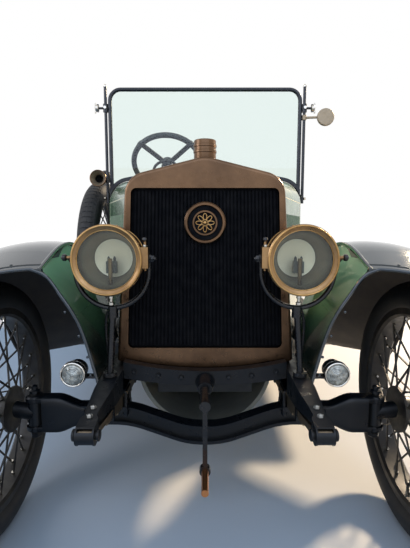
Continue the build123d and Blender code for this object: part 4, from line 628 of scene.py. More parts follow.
def lamp_parts():
    """Inner cone, round reflector, burner block, beads, hinge ball and gas nipple of the headlamps. The
    reflector is a paraboloid, deepest at its edge."""
    cone, mirror, burner, trim, dark, bright = [Batch() for _ in range(6)]
    x, y, z = LAMP
    fork_y = -108
    back = (0, 1, 0)
    cone.lathe([(67.9, 14.5), (47.8, 83.5), (47, 82), (67.2, 13)], LAMP, back, 64, ring=True)
    steps = np.linspace(0, 1, 7)
    mirror.lathe([(46.5 * t, 86 - 6 * t * t) for t in steps] + [(46.5, 84), (0, 90)], LAMP, back, 48)
    burner.box((x - 12, y + 48, z - 34), (x + 12, y + 66, z - 6))
    for s in (-7, 7):
        burner.lathe([(3.4, 0), (3.4, 8), (1.6, 13)], (x + s, y + 57, z - 7), (0, 0, 1), 12)
    for radius, dy, thick in ((78.5, 1.0, 2.0), (68.4, 6.4, 1.3), (75.6, 26.0, 1.8), (74.6, 88.0, 1.5)):
        trim.tube(ring_points((x, y + dy, z), radius, back, 72), thick, 8, closed=True)
    for a in np.linspace(0.3, 2 * math.pi + 0.3, 8, endpoint=False):
        out = np.array([math.cos(a), 0, math.sin(a)])
        trim.dome(LAMP + (0, 12, 0) + out * 81.6, out, 2.2, 2.0, 8)
    ball = [(0, -6.4), (4.5, -4.5), (6.4, 0), (4.5, 4.5), (0, 6.4)]
    dark.lathe(ball, (x - 86, y + 14, z + 47), (0, 0, 1), 16)
    dark.lathe([(5, 0), (8, 3), (8, 9), (4, 12)], (x + 92, y + 14, z + 6), (1, 0, 0), 16)
    for s in (-1, 1):
        dark.nut((x + s * 94, fork_y, z), (s, 0, 0), 15, 8)
        dark.dome((x + s * 102, fork_y, z), (s, 0, 0), 5, 5, 12)
    nipple = [(7, 0), (7, 6), (4, 8), (4, 15), (6, 16), (6, 21)]
    bright.lathe(nipple, (x + 4, fork_y, z - 112), (0, 0, 1), 12)
    bright.nut((x - 86, y + 14, z + 30), (0, 0, 1), 9, 5)
    hose = [(x + 4, -104, z - 112), (x + 20, -92, z - 144), (x + 24, -84, z - 190), (x + 18, -80, z - 286)]
    dark.tube(smooth(hose, 6), 3.6, 10)
    for batch, name, material, slot in (
        (cone, "headlamp_cones", CONE, "nickel"),
        (mirror, "headlamp_reflectors", REFLECTOR, "nickel"),
        (burner, "headlamp_burners", IRON, "iron"),
        (trim, "headlamp_beads", BRASS_BRIGHT, "brass"),
        (dark, "headlamp_knobs_and_hoses", BLACK, "black_enamel"),
        (bright, "headlamp_nipples", NICKEL, "nickel"),
    ):
        batch.make(name, material, slot, both=True)


def low_lamps():
    """Nickel rims and glasses of the two low lamps: each glass is a shallow paraboloid on which every
    other row stands 0.7 mm proud, as a rib."""
    rim, glass = Batch(), Batch()
    at = np.array([320.0, -128.0, 500.0])
    front = (0, -1, 0)
    rim.tube(ring_points(at - (0, 3, 0), 28.5, front, 56), 2.6, 10, closed=True)
    rim.tube(ring_points(at + (0, 11, 0), 30.2, front, 56), 1.4, 8, closed=True)
    edge, row = 26.5, np.arange(15)
    r = edge * (1 - row / 14)
    bulge = 2.0 + 8.0 * (1 - (r / edge) ** 2) + 0.7 * (row % 2)
    glass.lathe(np.stack([r, bulge], axis=1), at, front, 40)
    for batch, name, material, slot in (
        (rim, "low_lamp_rims", NICKEL, "nickel"),
        (glass, "low_lamp_glasses", RIBBED, "glass"),
    ):
        batch.make(name, material, slot, both=True)


def tree_of(piece):
    """A search tree over the faces of a CAD node, given by name, or of a new object."""
    mesh = (frame["nodes"][piece] if isinstance(piece, str) else piece).data
    return BVHTree.FromPolygons([v.co[:] for v in mesh.vertices], [f.vertices[:] for f in mesh.polygons])


def struck(tree, start, direction):
    """The point and normal where a ray first meets a tree, in millimetres from the front axle."""
    origin = Vector(start) / 1000 + Vector((0, SHIFT, 0))
    point, normal = tree.ray_cast(origin, Vector(direction).normalized())[:2]
    if point is None:
        raise ValueError("no face of the piece lies ahead of %s" % (tuple(start),))
    return (np.array(point) - (0, SHIFT, 0)) * 1000, np.array(normal)


def wing_edges():
    """The wired lips of the front wings, the raised band behind each lip with its rivets, and the
    beads along the aprons. A lip's y is the greater of the apron's straight edge and of the crown's
    arc, drawn in to 0.36 of its drop, and its height is struck on the wing itself."""
    crown = tree_of("front_wings")
    arc, arc_x = 425, 445
    b = Batch()
    lip, band, normals = [], [], []
    for x in np.linspace(392, 699, 26):
        drop = arc - math.sqrt(arc**2 - (x - arc_x) ** 2)
        y = max(-100 - (x - 257) * 153 / 505, 0.36 * drop - 238)
        point, normal = struck(crown, (x, y + 2, 1000), (0, 0, -1))
        lip.append(point - normal * 1.5)
        point, normal = struck(crown, (x, y + 27, 1000), (0, 0, -1))
        band.append(point)
        normals.append(normal)
    edge = smooth([(257.5, -133, 478), (297, -133, 618), (345, -134, 702), (374, -136, 742), lip[1]], 8)
    b.tube([*edge, *lip[2:]], 4.0, 10)
    b.dome(lip[0] + (-4, 6, -4), (0, -1, 0), 8, 7, 12)
    b.strip(band, normals, 13, 2.0)
    for i in (5, 13, 20):
        b.dome(band[i] + normals[i] * 1.8, normals[i], 4.0, 2.6)
    for x, y, z in ((262, -131, 500), (268, -131, 545), (287, -131, 597), (318, -131, 655)):
        b.dome((x + 14, y - 2, z), (0, -1, 0), 3.5, 2.5)
    b.make("front_wing_lips", WING, "body_paint", both=True)


def front_bolts():
    """Bolts on the dumb irons, the crossmember and the starting handle's bearing, and the nuts of the
    spring eyes and kingpins. The crossmember's two edges are parabolas, and its bolts lie midway."""
    b = Batch()
    for y, top in ((-262, 476.5), (-291, 471)):
        b.nut((SPRING_X, y, top), (0, 0.18, 1), 12, 5)
        b.dome((SPRING_X, y, top + 4.5), (0, 0.18, 1), 3.2, 2.4, 10)
    b.make("dumb_iron_bolts", ALLOY, "bare_steel", both=True)
    b = Batch()
    for s in (-1, 1):
        b.lathe([(12, -1), (12, 2.5), (9, 4)], (SPRING_X + s * 24, -318, 446), (s, 0, 0), 16)
        b.nut((SPRING_X + s * 21, 318, 398), (s, 0, 0), 22, 8)
    for x in (62, 122, 186):
        bow = 1 - (x / 213) ** 2
        middle = ((506 - 25 * bow) + (462 - 19 * bow)) / 2
        b.nut((x, -52, middle), (0, -1, 0), 13, 6)
        b.dome((x, -57.5, middle), (0, -1, 0), 3.6, 2.5, 10)
    for a in (45, 135):
        c, d = 21 * math.cos(math.radians(a)), 21 * math.sin(math.radians(a))
        for sign in (-1, 1):
            b.nut((c, -54, 452 + sign * d), (0, -1, 0), 8, 5)
    b.lathe([(14, 0), (14, 7), (9, 11), (9, 19), (5, 21)], (PIN_X, 0, 402), (0, 0, 1), 8)
    b.nut((PIN_X, 0, 288), (0, 0, -1), 26, 12)
    b.make("front_bolts_and_caps", CHASSIS, "chassis_paint", both=True)


def axle_forgings():
    """Forged ends of the front axle: the beam swells by a cosine to the fork, as a loft of superellipses
    of power 6, wider in front, and each ear is a rounded boss with a neck to the fork."""
    b = Batch()
    turn = np.linspace(0, 2 * np.pi, 40, endpoint=False)
    c, s = np.cos(turn), np.sin(turn)
    reach = (np.abs(c) ** 6 + np.abs(s) ** 6) ** (-1 / 6)
    y, z = reach * c, reach * s
    beam_end, swell = 328, 80
    x = np.concatenate([np.linspace(beam_end, beam_end + swell, 18), [443.4]])
    grow = (1 - np.cos(np.pi * np.clip((x - beam_end) / swell, 0, 1))) / 2
    depth = np.where(y < 0, 22.4 + 3.6 * grow[:, None], 21.4 + 0.6 * grow[:, None]) * y
    height = (26.6 + 24.4 * grow)[:, None] * z + AXLE_Z
    fork = np.stack(np.broadcast_arrays(x[:, None], depth, height), axis=2)
    b.grid(fork, close_v=True, caps=True)
    for side in (-1, 1):
        middle = AXLE_Z + side * 41.2
        neck = [np.stack([np.full(40, a), 22.0 * y, middle + 7.4 * z], axis=1) for a in (438.0, PIN_X)]
        b.grid(neck, close_v=True, caps=True)
        boss = [(22.4, -7.2), (24.2, -5.5), (24.2, 4.5), (20.5, 8.8), (13, 10)]
        b.lathe(boss, (PIN_X, 0, middle), (0, 0, side), 32)
    b.make("axle_end_forgings", CHASSIS, "chassis_paint", angle=40.0, both=True)


def spring_irons():
    """U-bolts that hold the springs to the axles, and the clips round the front springs' leaves, whose
    top is a parabola along the car."""
    b = Batch()
    for y0, x, base, top in ((0.0, SPRING_X, 361.0, 418.0), (REAR_Y, 300.0, 318.0, 434.0)):
        for y in (y0 - 27, y0 + 27):
            legs = [(x - 21, y, base - 14), (x - 21, y, top - 6), (x - 14, y, top + 2)]
            b.tube(legs + [(2 * x - px, py, pz) for px, py, pz in reversed(legs)], 5.0, 10)
            for s in (-1, 1):
                b.nut((x + s * 21, y, base), (0, 0, -1), 15, 9)
    for y in (-150.0, 160.0):
        top = 407.4 - 0.0755 * y + 0.000179 * y * y
        b.box((SPRING_X - 18, y - 7, top - 30), (SPRING_X + 18, y + 7, top + 1.5))
        b.nut((SPRING_X + 18, y, top - 6), (1, 0, 0), 10, 5)
    b.make("spring_bolts_and_clips", CHASSIS, "chassis_paint", both=True)


def screen_fittings():
    """Wing nuts on the windscreen's clamps, nuts on its feet and the caps of its posts."""
    b = Batch()
    b.lathe([(12, 0), (14, 3), (14, 12), (11, 15), (0, 16)], (463, SCREEN_Y, CLAMP_Z), (1, 0, 0), 24)
    for s in (-1, 1):
        ear = [(x, SCREEN_Y, CLAMP_Z + s * rise) for x, rise in ((474, 4), (477, 14), (478, 22))]
        b.tube(ear, [3, 4.5, 3], 10)
        b.nut((439, SCREEN_Y + s * 10, 981), (1, 0, 0), 12, 7)
        b.nut((POST_X, SCREEN_Y + s * 11, CLAMP_Z), (0, s, 0), 13, 7)
    b.lathe([(8, -3), (8, 2), (5, 6), (2, 9)], (POST_X, SCREEN_Y, 1462), (0, 0, 1), 16)
    b.make("windscreen_fittings", NICKEL, "nickel", both=True)


def horn_bead():
    """A rolled wire edge round the horn's mouth: a small torus."""
    b = Batch()
    b.tube(ring_points((HORN_X, 691, HORN_Z), 33.0, (0, 1, 0), 40), 2.6, 8, closed=True)
    b.make("horn_mouth_bead", BRASS, "brass")


def flap_trim(side):
    """Coachlines, handle and catches on one bonnet flap, all struck on its skin from the side."""
    name = "bonnet_left" if side > 0 else "bonnet_right"
    skin = tree_of(name)
    line, bright = Batch(), Batch()

    def onto(y, z):
        return struck(skin, (side * 800, y, z), (-side, 0, 0))

    corners = [(118.0, 712.0), (542.0, 712.0), (542.0, 948.0), (118.0, 948.0)]
    for i, count in enumerate((22, 14, 22, 14)):
        edge = np.linspace(corners[i], corners[(i + 1) % 4], count)
        line.strip(*zip(*[onto(y, z) for y, z in edge]), 3.2, 0.35)
    line.make(name + "_coachlines", CREAM, "body_paint", name)
    feet = [onto(y, 728) for y in (290, 370)]
    bar = [feet[0][0], feet[0][0] + feet[0][1] * 20, feet[1][0] + feet[1][1] * 20, feet[1][0]]
    bright.tube(smooth(bar, 7), 4.0, 10)
    for point, normal in feet:
        bright.lathe([(9, -0.5), (9, 2), (6, 4)], point, normal, 16)
    for y in (132, 528):
        point, normal = onto(y, 718)
        bright.lathe([(10, -0.5), (10, 2), (7, 5), (7, 12), (4, 14)], point, normal, 16)
        tip = point + normal * 10
        bright.tube([tip - (0, 14, 0), tip + (0, 14, 0)], [3.4, 3.4], 10)
    bright.make(name + "_handle", NICKEL, "nickel", name)


def body_lines():
    """The half-round beading below the belt, the coachline under it and the one along the sill, split
    at the door. Behind tail_y they fall by 3 in 10, as the tail does."""
    tub, door = tree_of("body_tub"), tree_of("door_left")
    sill_z, wing_y, tail_y = 560, 1960, 2180
    # Columns: body, its skin, side (+1 left), first and last y
    rows = [
        ("chassis", tub, 1, 800, 957),
        ("door_left", door, 1, 968, 1405),
        ("chassis", tub, 1, 1418, 2690),
        ("chassis", tub, -1, 800, 2690),
    ]
    for i, (body, skin, side, y0, y1) in enumerate(rows):
        bead, line = Batch(), Batch()
        steps = max(8, int((y1 - y0) / 40))
        bands = ((922, bead, 11, 3.2), (902, line, 3.0, 0.35), (sill_z, line, 3.0, 0.35))
        for z, batch, width, height in bands:
            places = np.linspace(y0, min(y1, wing_y) if z == sill_z else y1, steps)
            heights = z - np.maximum(0.0, (places - tail_y) * 0.3)
            found = [struck(skin, (side * 900, y, h), (-side, 0, 0)) for y, h in zip(places, heights)]
            batch.strip(*zip(*found), width, height)
        bead.make("body_beading_%d" % i, WING, "body_paint", body)
        line.make("body_coachlines_%d" % i, CREAM, "body_paint", body)


def door_handle():
    """The door's lever handle on its round plate."""
    b = Batch()
    point, normal = struck(tree_of("door_left"), (900, 1372, 880), (-1, 0, 0))
    b.lathe([(17, -0.5), (17, 2), (13, 4), (8, 6), (8, 20)], point, normal, 24)
    lever = [point + (16, 0, 0), point + (26, 0, 0), point + (29, -20, -1), point + (29, -66, -5)]
    b.tube(smooth(lever, 6), [6.0] * 12 + [6.4] * 6 + [4.5], 12)
    b.make("door_handle", NICKEL, "nickel", "door_left")


def dials():
    """Two instruments with plain white faces, ticks and a needle each, and the board's switches."""
    rim, face, mark = Batch(), Batch(), Batch()
    back = (0, 1, 0)
    for x, r, pointer in ((-20.0, 46.0, 0.7), (92.0, 38.0, 2.2)):
        at = np.array([x, 806.0, 992.0])
        rim.tube(ring_points(at + (0, 1, 0), r - 1.5, back, 56), 3.0, 10, closed=True)
        face.lathe([(r - 3, -1), (r - 3, 0.8)], at, back, 48)
        for i in range(21):
            a = math.radians(-40 + 13 * i)
            out = np.array([math.cos(a), 0, math.sin(a)])
            low = r - (11 if i % 5 == 0 else 8)
            mark.tube([at + out * low + (0, 1, 0), at + out * (r - 5) + (0, 1, 0)], 0.6, 4)
        out = np.array([math.cos(pointer), 0, math.sin(pointer)])
        mark.tube([at - out * 8 + (0, 2, 0), at + out * (r - 12) + (0, 2, 0)], [1.6, 0.5], 6)
        mark.lathe([(3.5, 0), (3.5, 2.5), (2, 3.5)], at, back, 16)
    for x in (168, 204, 240):
        rim.lathe([(9, -2), (9, 2), (5, 4), (5, 14), (8, 15), (8, 20), (5, 22)], (x, 787, 975), back, 20)
    rim.make("instrument_rims", BRASS_BRIGHT, "brass")
    face.make("instrument_faces", IVORY, "body_paint")
    mark.make("instrument_needles", DARK, "black_enamel")


def set_points(mesh, points):
    """Put points back into a mesh."""
    mesh.vertices.foreach_set("co", points.ravel())
    mesh.update()


def baked(obj):
    """Replace an object's mesh by its evaluated one and drop its modifiers."""
    graph = bpy.context.evaluated_depsgraph_get()
    mesh = bpy.data.meshes.new_from_object(obj.evaluated_get(graph))
    obj.modifiers.clear()
    obj.data = mesh


def tilt(points, about, degrees):
    """Points turned about an X axis through a point."""
    a = math.radians(degrees)
    turn = np.array([[1, 0, 0], [0, math.cos(a), -math.sin(a)], [0, math.sin(a), math.cos(a)]])
    return (points - about) @ turn.T + about


BUTTONS_APART = 0.094


def tufts(box, face):
    """Button places on the top (2) or front (1) face of a box in metres: three rows, the middle one
    shifted by half the distance between buttons."""
    low, high = box
    rows = []
    other = 1 if face == 2 else 2
    for i in range(3):
        t = low[other] + (high[other] - low[other]) * (0.2 + 0.3 * i)
        for k in range(-4, 4 + (i % 2 == 0)):
            x = (k + (i % 2) / 2) * BUTTONS_APART
            rows.append((x, t, high[2]) if face == 2 else (x, low[1], t))
    return np.array(rows)


def stuffed(node, name, face, lean, about):
    """A hide cover over stuffing: the CAD solid taken in, remeshed and blown up as cloth that its
    buttons hold down, then kept inside the solid's own box; face 2 is its top, 1 its front. Its
    creases run slantwise from button to button, as Gaussian furrows, with a pit at each button."""
    obj = linked(name, frame["nodes"][node].data.copy())
    about = np.array(about) / 1000 + (0, SHIFT, 0)
    points = tilt(rows_of(obj.data.vertices, "co"), about, lean)
    box = points.min(0), points.max(0)
    middle, half = (box[0] + box[1]) / 2, (box[1] - box[0]) / 2
    taken_in, swelling = 0.013, 0.026
    set_points(obj.data, middle + (points - middle) * (half - taken_in) / half)
    grid = obj.modifiers.new("grid", "REMESH")
    grid.mode, grid.voxel_size = "VOXEL", 0.0085
    baked(obj)
    start = rows_of(obj.data.vertices, "co")
    places = tufts(box, face)
    across = [0, 1] if face == 2 else [0, 2]
    near = np.min(np.linalg.norm(start[:, None, across] - places[None, :, across], axis=2), axis=1)
    outer = start[:, face] > middle[face] if face == 2 else start[:, face] < middle[face]
    held = obj.vertex_groups.new(name="held")
    held.add([int(i) for i in np.flatnonzero((near < 0.011) & outer)], 1.0, "REPLACE")
    cloth = obj.modifiers.new("stuffing", "CLOTH").settings
    cloth.quality = 5
    cloth.mass = 0.4
    cloth.use_pressure = True
    cloth.uniform_pressure_force = 4.0
    cloth.vertex_group_mass = "held"
    cloth.effector_weights.gravity = 0.0
    for step in range(1, 21):
        bpy.context.scene.frame_set(step)
    baked(obj)
    bpy.context.scene.frame_set(1)
    moved = rows_of(obj.data.vertices, "co") - start
    far = np.linalg.norm(moved, axis=1)[:, None]
    points = start + moved * np.minimum(1.0, swelling / np.maximum(far, 1e-6))
    set_points(obj.data, points)
    fine = obj.modifiers.new("fine", "SUBSURF")
    fine.levels = fine.render_levels = 1
    baked(obj)
    mesh = obj.data
    points = rows_of(mesh.vertices, "co")
    normals = rows_of(mesh.vertex_normals, "vector")
    flat = points[:, across]
    near = np.min(np.linalg.norm(flat[:, None] - places[None, :, across], axis=2), axis=1)
    pitch = 0.3 * (box[1] - box[0])[across[1]]
    row = (flat[:, 1] - places[0][across[1]]) / pitch
    crease = np.zeros(len(points))
    for sign in (-1, 1):
        line = flat[:, 0] / BUTTONS_APART + sign * row / 2
        crease += np.exp(-(((line - np.round(line)) * 0.085 / 0.0055) ** 2))
    facing = normals[:, face] > 0.35 if face == 2 else normals[:, face] < -0.35
    inner = (row > -0.62) & (row < 2.62)
    depth = 0.0042 * np.minimum(crease, 1.2) * inner + 0.006 * np.exp(-((near / 0.013) ** 2))
    points = points - normals * (depth * facing)[:, None]
    points = np.clip(points, box[0] + 0.0005, box[1] + (0.0005, 0.0005, 0.004))
    set_points(mesh, tilt(points, about, -lean))
    mesh.shade_smooth()
    mesh.materials.clear()
    mesh.materials.append(LEATHER)
    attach(obj, "chassis")
    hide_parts(node)
    return obj, tilt(places, about, -lean)


def seat_trim(obj, places, inward, welts, name):
    """Buttons sunk in a cushion's dimples, and the piped welts along its edges."""
    skin = tree_of(obj)
    b = Batch()
    inward = np.asarray(inward, float)
    for place in places:
        start = (place - (0, SHIFT, 0)) * 1000 - inward * 80
        point, _ = struck(skin, start, inward)
        b.lathe([(6.5, -2), (6.5, 1.2), (4.5, 2.8), (0, 3.4)], point, -inward, 14)
    for start, direction in welts:
        path = [struck(skin, (x, *start), direction)[0] for x in np.linspace(-366, 366, 60)]
        b.tube(path, 3.8, 8)
    b.make(name, HIDE_TRIM, "leather")


def seats():
    """The buttoned cushion and back rest."""
    cushion, places = stuffed("seat_cushion", "buttoned_seat_cushion", 2, 0.0, (0, 1430, 680))
    welts = [((1430, 676), (0, -215, 52)), ((1430, 684), (0, -215, -52))]
    seat_trim(cushion, places, (0, 0, -1), welts, "cushion_buttons")
    degrees = 12.0
    back, places = stuffed("seat_back", "buttoned_seat_back", 1, degrees, (0, 1597, 759))
    lean = math.radians(degrees)
    inward = np.array([0, math.cos(lean), -math.sin(lean)])
    top = (0, -52 + 180 * math.sin(lean), 180)
    seat_trim(back, places, inward, [((1690, 950), top)], "back_rest_buttons")


HOOD_HALF = 424.0


def hood():
    """The hood as one sheet of canvas, folded to and fro on the deck in seven layers: each layer is a
    faint sine wave along the car, each turn half an ellipse, and the wall is 1.6 mm thick along the
    normal of that path."""
    low, pitch = 1003.0, 15.6
    path = np.empty((0, 2))
    for layer in range(7):
        y = np.linspace(1842 + 5 * math.sin(layer * 2.1), 2022 - 6 * math.cos(layer * 1.7), 16)
        line = np.stack([y, low + layer * pitch + 2.2 * np.sin(y / 41 + layer)], axis=1)
        out = 1 if layer % 2 else -1
        line = line[::-out]
        if layer:
            (y0, z0), (y1, z1) = path[-1], line[0]
            a = np.linspace(0.5, 2.64, 5)
            turn_y, turn_z = (y0 + y1) / 2 + out * 7.4 * np.sin(a), z0 + (z1 - z0) * (1 - np.cos(a)) / 2
            path = np.vstack([path, np.stack([turn_y, turn_z], axis=1)])
        path = np.vstack([path, line])
    step = np.gradient(path, axis=0)
    step /= np.linalg.norm(step, axis=1)[:, None]
    x = np.linspace(-HOOD_HALF, HOOD_HALF, 54)[:, None]
    y, z = path.T
    droop = 5.0 * (x / HOOD_HALF) ** 4 * (z - low) / 110
    wave = 1.6 * np.sin(x / 57 + z / 9) * np.sin(x / 23)
    sides = []
    for side in (-0.8, 0.8):
        rows = x, y - side * step[:, 1] + 2.5 * np.sin(x / 91), z + side * step[:, 0] + wave - droop
        sides.append(np.stack(np.broadcast_arrays(*rows), axis=2))
    closed = np.concatenate([sides[0], sides[1][:, ::-1]], axis=1)
    b = Batch()
    b.grid(closed, close_v=True)
    n, m = closed.shape[:2]
    half = m // 2
    for first in (0, (n - 1) * m):
        rims = [(first + j, first + j + 1, first + m - 2 - j, first + m - 1 - j) for j in range(half - 1)]
        b.faces += rims if first else [rim[::-1] for rim in rims]
    obj = b.make("folded_canvas_hood", CANVAS, "hood_cloth", angle=70)
    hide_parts("folded_hood")


def hood_straps():
    """Two leather straps with buckles round the folded hood, and the ends of its ash sticks. A strap is
    a band along a smooth curve up the front of the hood, over it and down behind."""
    strap, buckle, stick = Batch(), Batch(), Batch()
    front, back = [(1826, 1000), (1824, 1050), (1834, 1108)], [(2034, 1100), (2040, 1050), (2036, 998)]
    over = [*front, (1870, 1119), (2000, 1117), *back]
    for x in (-260, 260):
        path = smooth([(x, y, z) for y, z in over], 6)
        tangent = np.gradient(path, axis=0)
        normals = np.stack([np.zeros(len(path)), -tangent[:, 2], tangent[:, 1]], axis=1)
        normals /= np.linalg.norm(normals, axis=1)[:, None]
        strap.strip(path, normals, 26, 3.0)
        loop = [(x + dx, y, 1124) for dx, y in ((-19, 1915), (-19, 1945), (19, 1945), (19, 1915))]
        buckle.tube(loop, 2.4, 8, closed=True)
        buckle.tube([(x, 1915, 1125), (x, 1946, 1126)], 1.8, 8)
    for side in (-1, 1):
        for i, z in enumerate((1012, 1043, 1074)):
            x = side * HOOD_HALF
            stick.box((x - 7, 1856 + 8 * i, z), (x + 7, 2004 - 9 * i, z + 7))
    strap.make("hood_straps", HIDE_TRIM, "leather")
    buckle.make("hood_buckles", NICKEL, "nickel")
    stick.make("hood_stick_ends", PLANK, "wood")


def board_trim():
    """Ribs of the running-board mats, which stop for the spare wheel on the right, and the metal strips
    along the boards' outer and front edges."""
    ribs, edge = Batch(), Batch()
    spare_in, spare_out = 440, 572
    for side in (-1, 1):
        for x in range(424, 652, 19):
            stops = side < 0 and spare_in < x < spare_out
            for y0, y1 in ([(668, 830), (1140, 1846)] if stops else [(668, 1846)]):
                ribs.box((side * x - 4, y0, 369.5), (side * x + 4, y1, 371.6))
        for low, high in (((661, 655, 347), (670, 1860, 373)), ((402, 653, 347), (670, 659, 373))):
            xs = sorted((side * low[0], side * high[0]))
            edge.box((xs[0], low[1], low[2]), (xs[1], high[1], high[2]))
    ribs.make("board_mat_ribs", MAT, "board_cover")
    edge.make("board_edging", ALLOY, "nickel")


def cockpit_rolls():
    """The padded hide rolls along the cockpit's rim, split at the door: tubes of 10.5 mm radius whose
    ends draw in to 6.5 mm. The rim is struck first from the side, then from above."""
    tub, door = tree_of("body_tub"), tree_of("door_left")

    def rim(skin, side, y0, y1, count):
        found = []
        for y in np.linspace(y0, y1, count):
            x = struck(skin, (side * 900, y, 930), (-side, 0, 0))[0][0] - side * 9
            found.append(struck(skin, (x, y, 1300), (0, 0, -1))[0] + (0, 0, 3))
        return found

    right = rim(tub, -1, 812, 1764, 40)
    left = rim(tub, 1, 1764, 1424, 16)
    corner = [(side * x, 1790, 1003) for side, xs in ((-1, (436, 400)), (1, (400, 436))) for x in xs]
    rows = [("chassis", smooth(right + corner + left, 3)), ("chassis", rim(tub, 1, 948, 812, 10))]
    rows.append(("door_left", rim(door, 1, 974, 1400, 22)))
    for i, (body, path) in enumerate(rows):
        b = Batch()
        taper = np.ones(len(path)) * 10.5
        taper[0] = taper[-1] = 6.5
        b.tube(path, taper, 14)
        b.make("cockpit_roll_%d" % i, HIDE_TRIM, "leather", body)


def tail_lamp():
    """The tail lamp with its red glass on the body's tail."""
    shell, glass = Batch(), Batch()
    point, _ = struck(tree_of("body_tub"), (-230, 3300, 672), (0, -1, 0))
    axis = (0, 1, 0)
    drum = [(0, -18), (14, -18), (14, 8), (27, 12), (30, 20), (30, 46), (27, 48), (24, 44)]
    shell.lathe(drum, point, axis, 32)
    shell.dome(point + (0, 32, 29), (0, 0, 1), 10, 9, 16)
    glass.lathe([(26, 40), (24, 48), (16, 52), (0, 53.5)], point, axis, 32)
    shell.make("tail_lamp", BLACK, "black_enamel")
    glass.make("tail_lamp_glass", RUBY, "glass")


def rear_fittings():
    """Bolts round the rear axle's casing and the three bands of the silencer."""
    b = Batch()
    for i in range(12):
        a = 2 * math.pi * i / 12
        for s in (-1, 1):
            b.nut((s * 8.5, REAR_Y + 124 * math.cos(a), HUB_Z + 124 * math.sin(a)), (s, 0, 0), 11, 6)
    for y in (1298, 1530, 1762):
        b.tube(ring_points((200, y, 284), 61, (0, 1, 0), 48), 3.0, 8, closed=True)
    b.make("rear_axle_bolts_and_bands", CHASSIS, "chassis_paint")


def levers():
    """The gear and brake levers in their gate beside the driver, and the steering wheel's boss with
    the rivets of its spider."""
    steel, knob = Batch(), Batch()
    steel.box((-396, 985, 506), (-352, 1075, 520))
    for x, lean in ((-386, 0), (-364, 26)):
        path = [(x, 1020 + lean, 512), (x, 1012 + lean, 640), (x + 2, 986 + lean, 770)]
        steel.tube(smooth(path, 8), 6.0, 10)
        knob.lathe([(6, -4), (12, 4), (15, 14), (11, 24), (3, 28)], path[-1], (0, -0.2, 1), 18)
    steel.make("gear_and_brake_levers", NICKEL, "nickel")
    knob.make("lever_knobs", BLACK, "black_enamel")
    hub, axis = np.array([-182.0, 965.0, 1160.0]), np.array([0, 0.6947, 0.7193])
    wheel = Batch()
    u, v = square_to(axis)
    wheel.lathe([(26, 0), (26, 5), (20, 9), (12, 12), (12, 18), (8, 22)], hub + axis * 17, axis, 32)
    for a in np.radians([45, 135, 225, 315]):
        out = math.cos(a) * u + math.sin(a) * v
        for r in (24, 150):
            wheel.dome(hub + out * r + axis * 3.2, axis, 4.2, 2.6)
    wheel.make("steering_wheel_boss", NICKEL, "nickel", "steering_wheel")


def bonnet_trim():
    """The trim of both bonnet flaps."""
    for side in (1, -1):
        flap_trim(side)


def camera():
    """The photograph's view: 1.09 m ahead of the front axle, 0.855 m up, tipped 6.5 degrees down."""
    data = bpy.data.cameras.new("photo_camera")
    data.lens = 27.0
    data.sensor_width = 36.0
    data.clip_start, data.clip_end = 0.05, 100.0
    cam = linked("photo_camera", data)
    cam.location = (0.0, -1.09 + SHIFT, 0.855)
    cam.rotation_euler = (math.radians(90 - 6.5), 0, 0)
    bpy.context.scene.camera = cam


def looking_ray(m):
    """1 for the rays that look at the background: the camera's, and those off metal and through glass."""
    seen = m.add("LightPath", {}, "Is Camera Ray")
    for kind in ("Is Glossy Ray", "Is Transmission Ray"):
        seen = m.add("Math", {0: seen, 1: m.add("LightPath", {}, kind)}, use_clamp=True)
    return seen


def pale_floor():
    """A floor of matt pale paint, rolled on: even and without gloss. From 2.6 m to 10 m from its middle
    it goes over into the white backdrop, by a glow that only a looking ray sees."""
    m = new_finish("pale_floor")
    away = m.add("VectorMath", {0: m.place, 1: (0, 0, 0)}, "Value", operation="DISTANCE")
    share = m.add("Math", {0: away, 1: 20.0}, operation="DIVIDE")
    far = m.add("ValToRGB", {"Fac": share}, stops=[(0.13, 0.0), (0.5, 1.0)])
    glow = m.add("Math", {0: far, 1: looking_ray(m)}, operation="MULTIPLY")
    paint = m.add("Mix", {0: glow, 6: "C9C8C4", 7: "000000"}, **BLEND)
    return m.surface(Base_Color=paint, Roughness=0.8, Emission_Color="FFFFFF", Emission_Strength=glow)


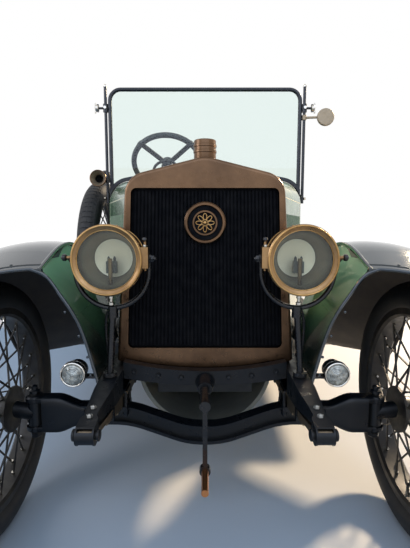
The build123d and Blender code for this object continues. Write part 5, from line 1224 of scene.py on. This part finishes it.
def backdrop():
    """A clear evening sky for the light, by height from the ground's grey to blue, and plain white where
    a looking ray meets it."""
    world = bpy.data.worlds.new("studio")
    bpy.context.scene.world = world
    m = Nodes(world)
    height = m.add("SeparateXYZ", {0: m.coordinates["Generated"]}, "Z")
    rows = [(0.0, "8D8A84"), (0.06, "D8DEE4"), (0.35, "A9C6E6"), (1.0, "6FA3DC")]
    sky = m.add("Background", {"Color": m.add("ValToRGB", {"Fac": height}, stops=rows), "Strength": 0.75})
    white = m.add("Background", {"Color": "FFFFFF"})
    shown = m.add("MixShader", {0: looking_ray(m), 1: sky, 2: white})
    m.put(m.tree.nodes["World Output"].inputs["Surface"], shown)


def studio():
    """A pale floor, a white backdrop and soft light as on a clear evening."""
    bpy.context.scene.view_settings.view_transform = "Standard"
    backdrop()
    mesh = bpy.data.meshes.new("studio_floor")
    reach = 60.0
    corners = [(reach * x, reach * y, 0) for x, y in ((-1, -1), (1, -1), (1, 1), (-1, 1))]
    mesh.from_pydata(corners, [], [(0, 1, 2, 3)])
    mesh.materials.append(pale_floor())
    linked("studio_floor", mesh)
    # Columns: name, place and aim from the front axle in metres, size, watts, colour
    for name, place, aim, size, power, colour in (
        ("low_sun", (3.9, 3.6, 3.6), (0, 0.3, 0.6), (0.5, 0.5), 620, "FFE6C4"),
        ("front_sky", (0.0, -3.4, 3.4), (0, 0, 0.5), (7.0, 4.0), 120, "C4DAFF"),
        ("left_fill", (-3.6, -0.8, 2.2), (0, 0, 0.6), (1.6, 1.6), 45, "E8EEFF"),
    ):
        data = bpy.data.lights.new(name, "AREA")
        data.shape = "RECTANGLE"
        data.size, data.size_y = size
        data.energy = power
        data.color = linear(colour)[:3]
        lamp = linked(name, data)
        lamp.location = Vector(place) + Vector((0, SHIFT, 0))
        lamp.rotation_euler = (Vector(aim) - Vector(place)).to_track_quat("-Z", "Y").to_euler()


for name, x, y, z, side, body in WHEELS:
    tyre(name, x, y, z, body)
    wheel_fittings(name, x, y, z, side, body)
for build in (
    core_fins,
    ornament,
    lamp_parts,
    low_lamps,
    wing_edges,
    front_bolts,
    axle_forgings,
    spring_irons,
    screen_fittings,
    horn_bead,
    bonnet_trim,
    body_lines,
    door_handle,
    dials,
    seats,
    hood,
    hood_straps,
    board_trim,
    cockpit_rolls,
    tail_lamp,
    rear_fittings,
    levers,
    camera,
    studio,
):
    build()
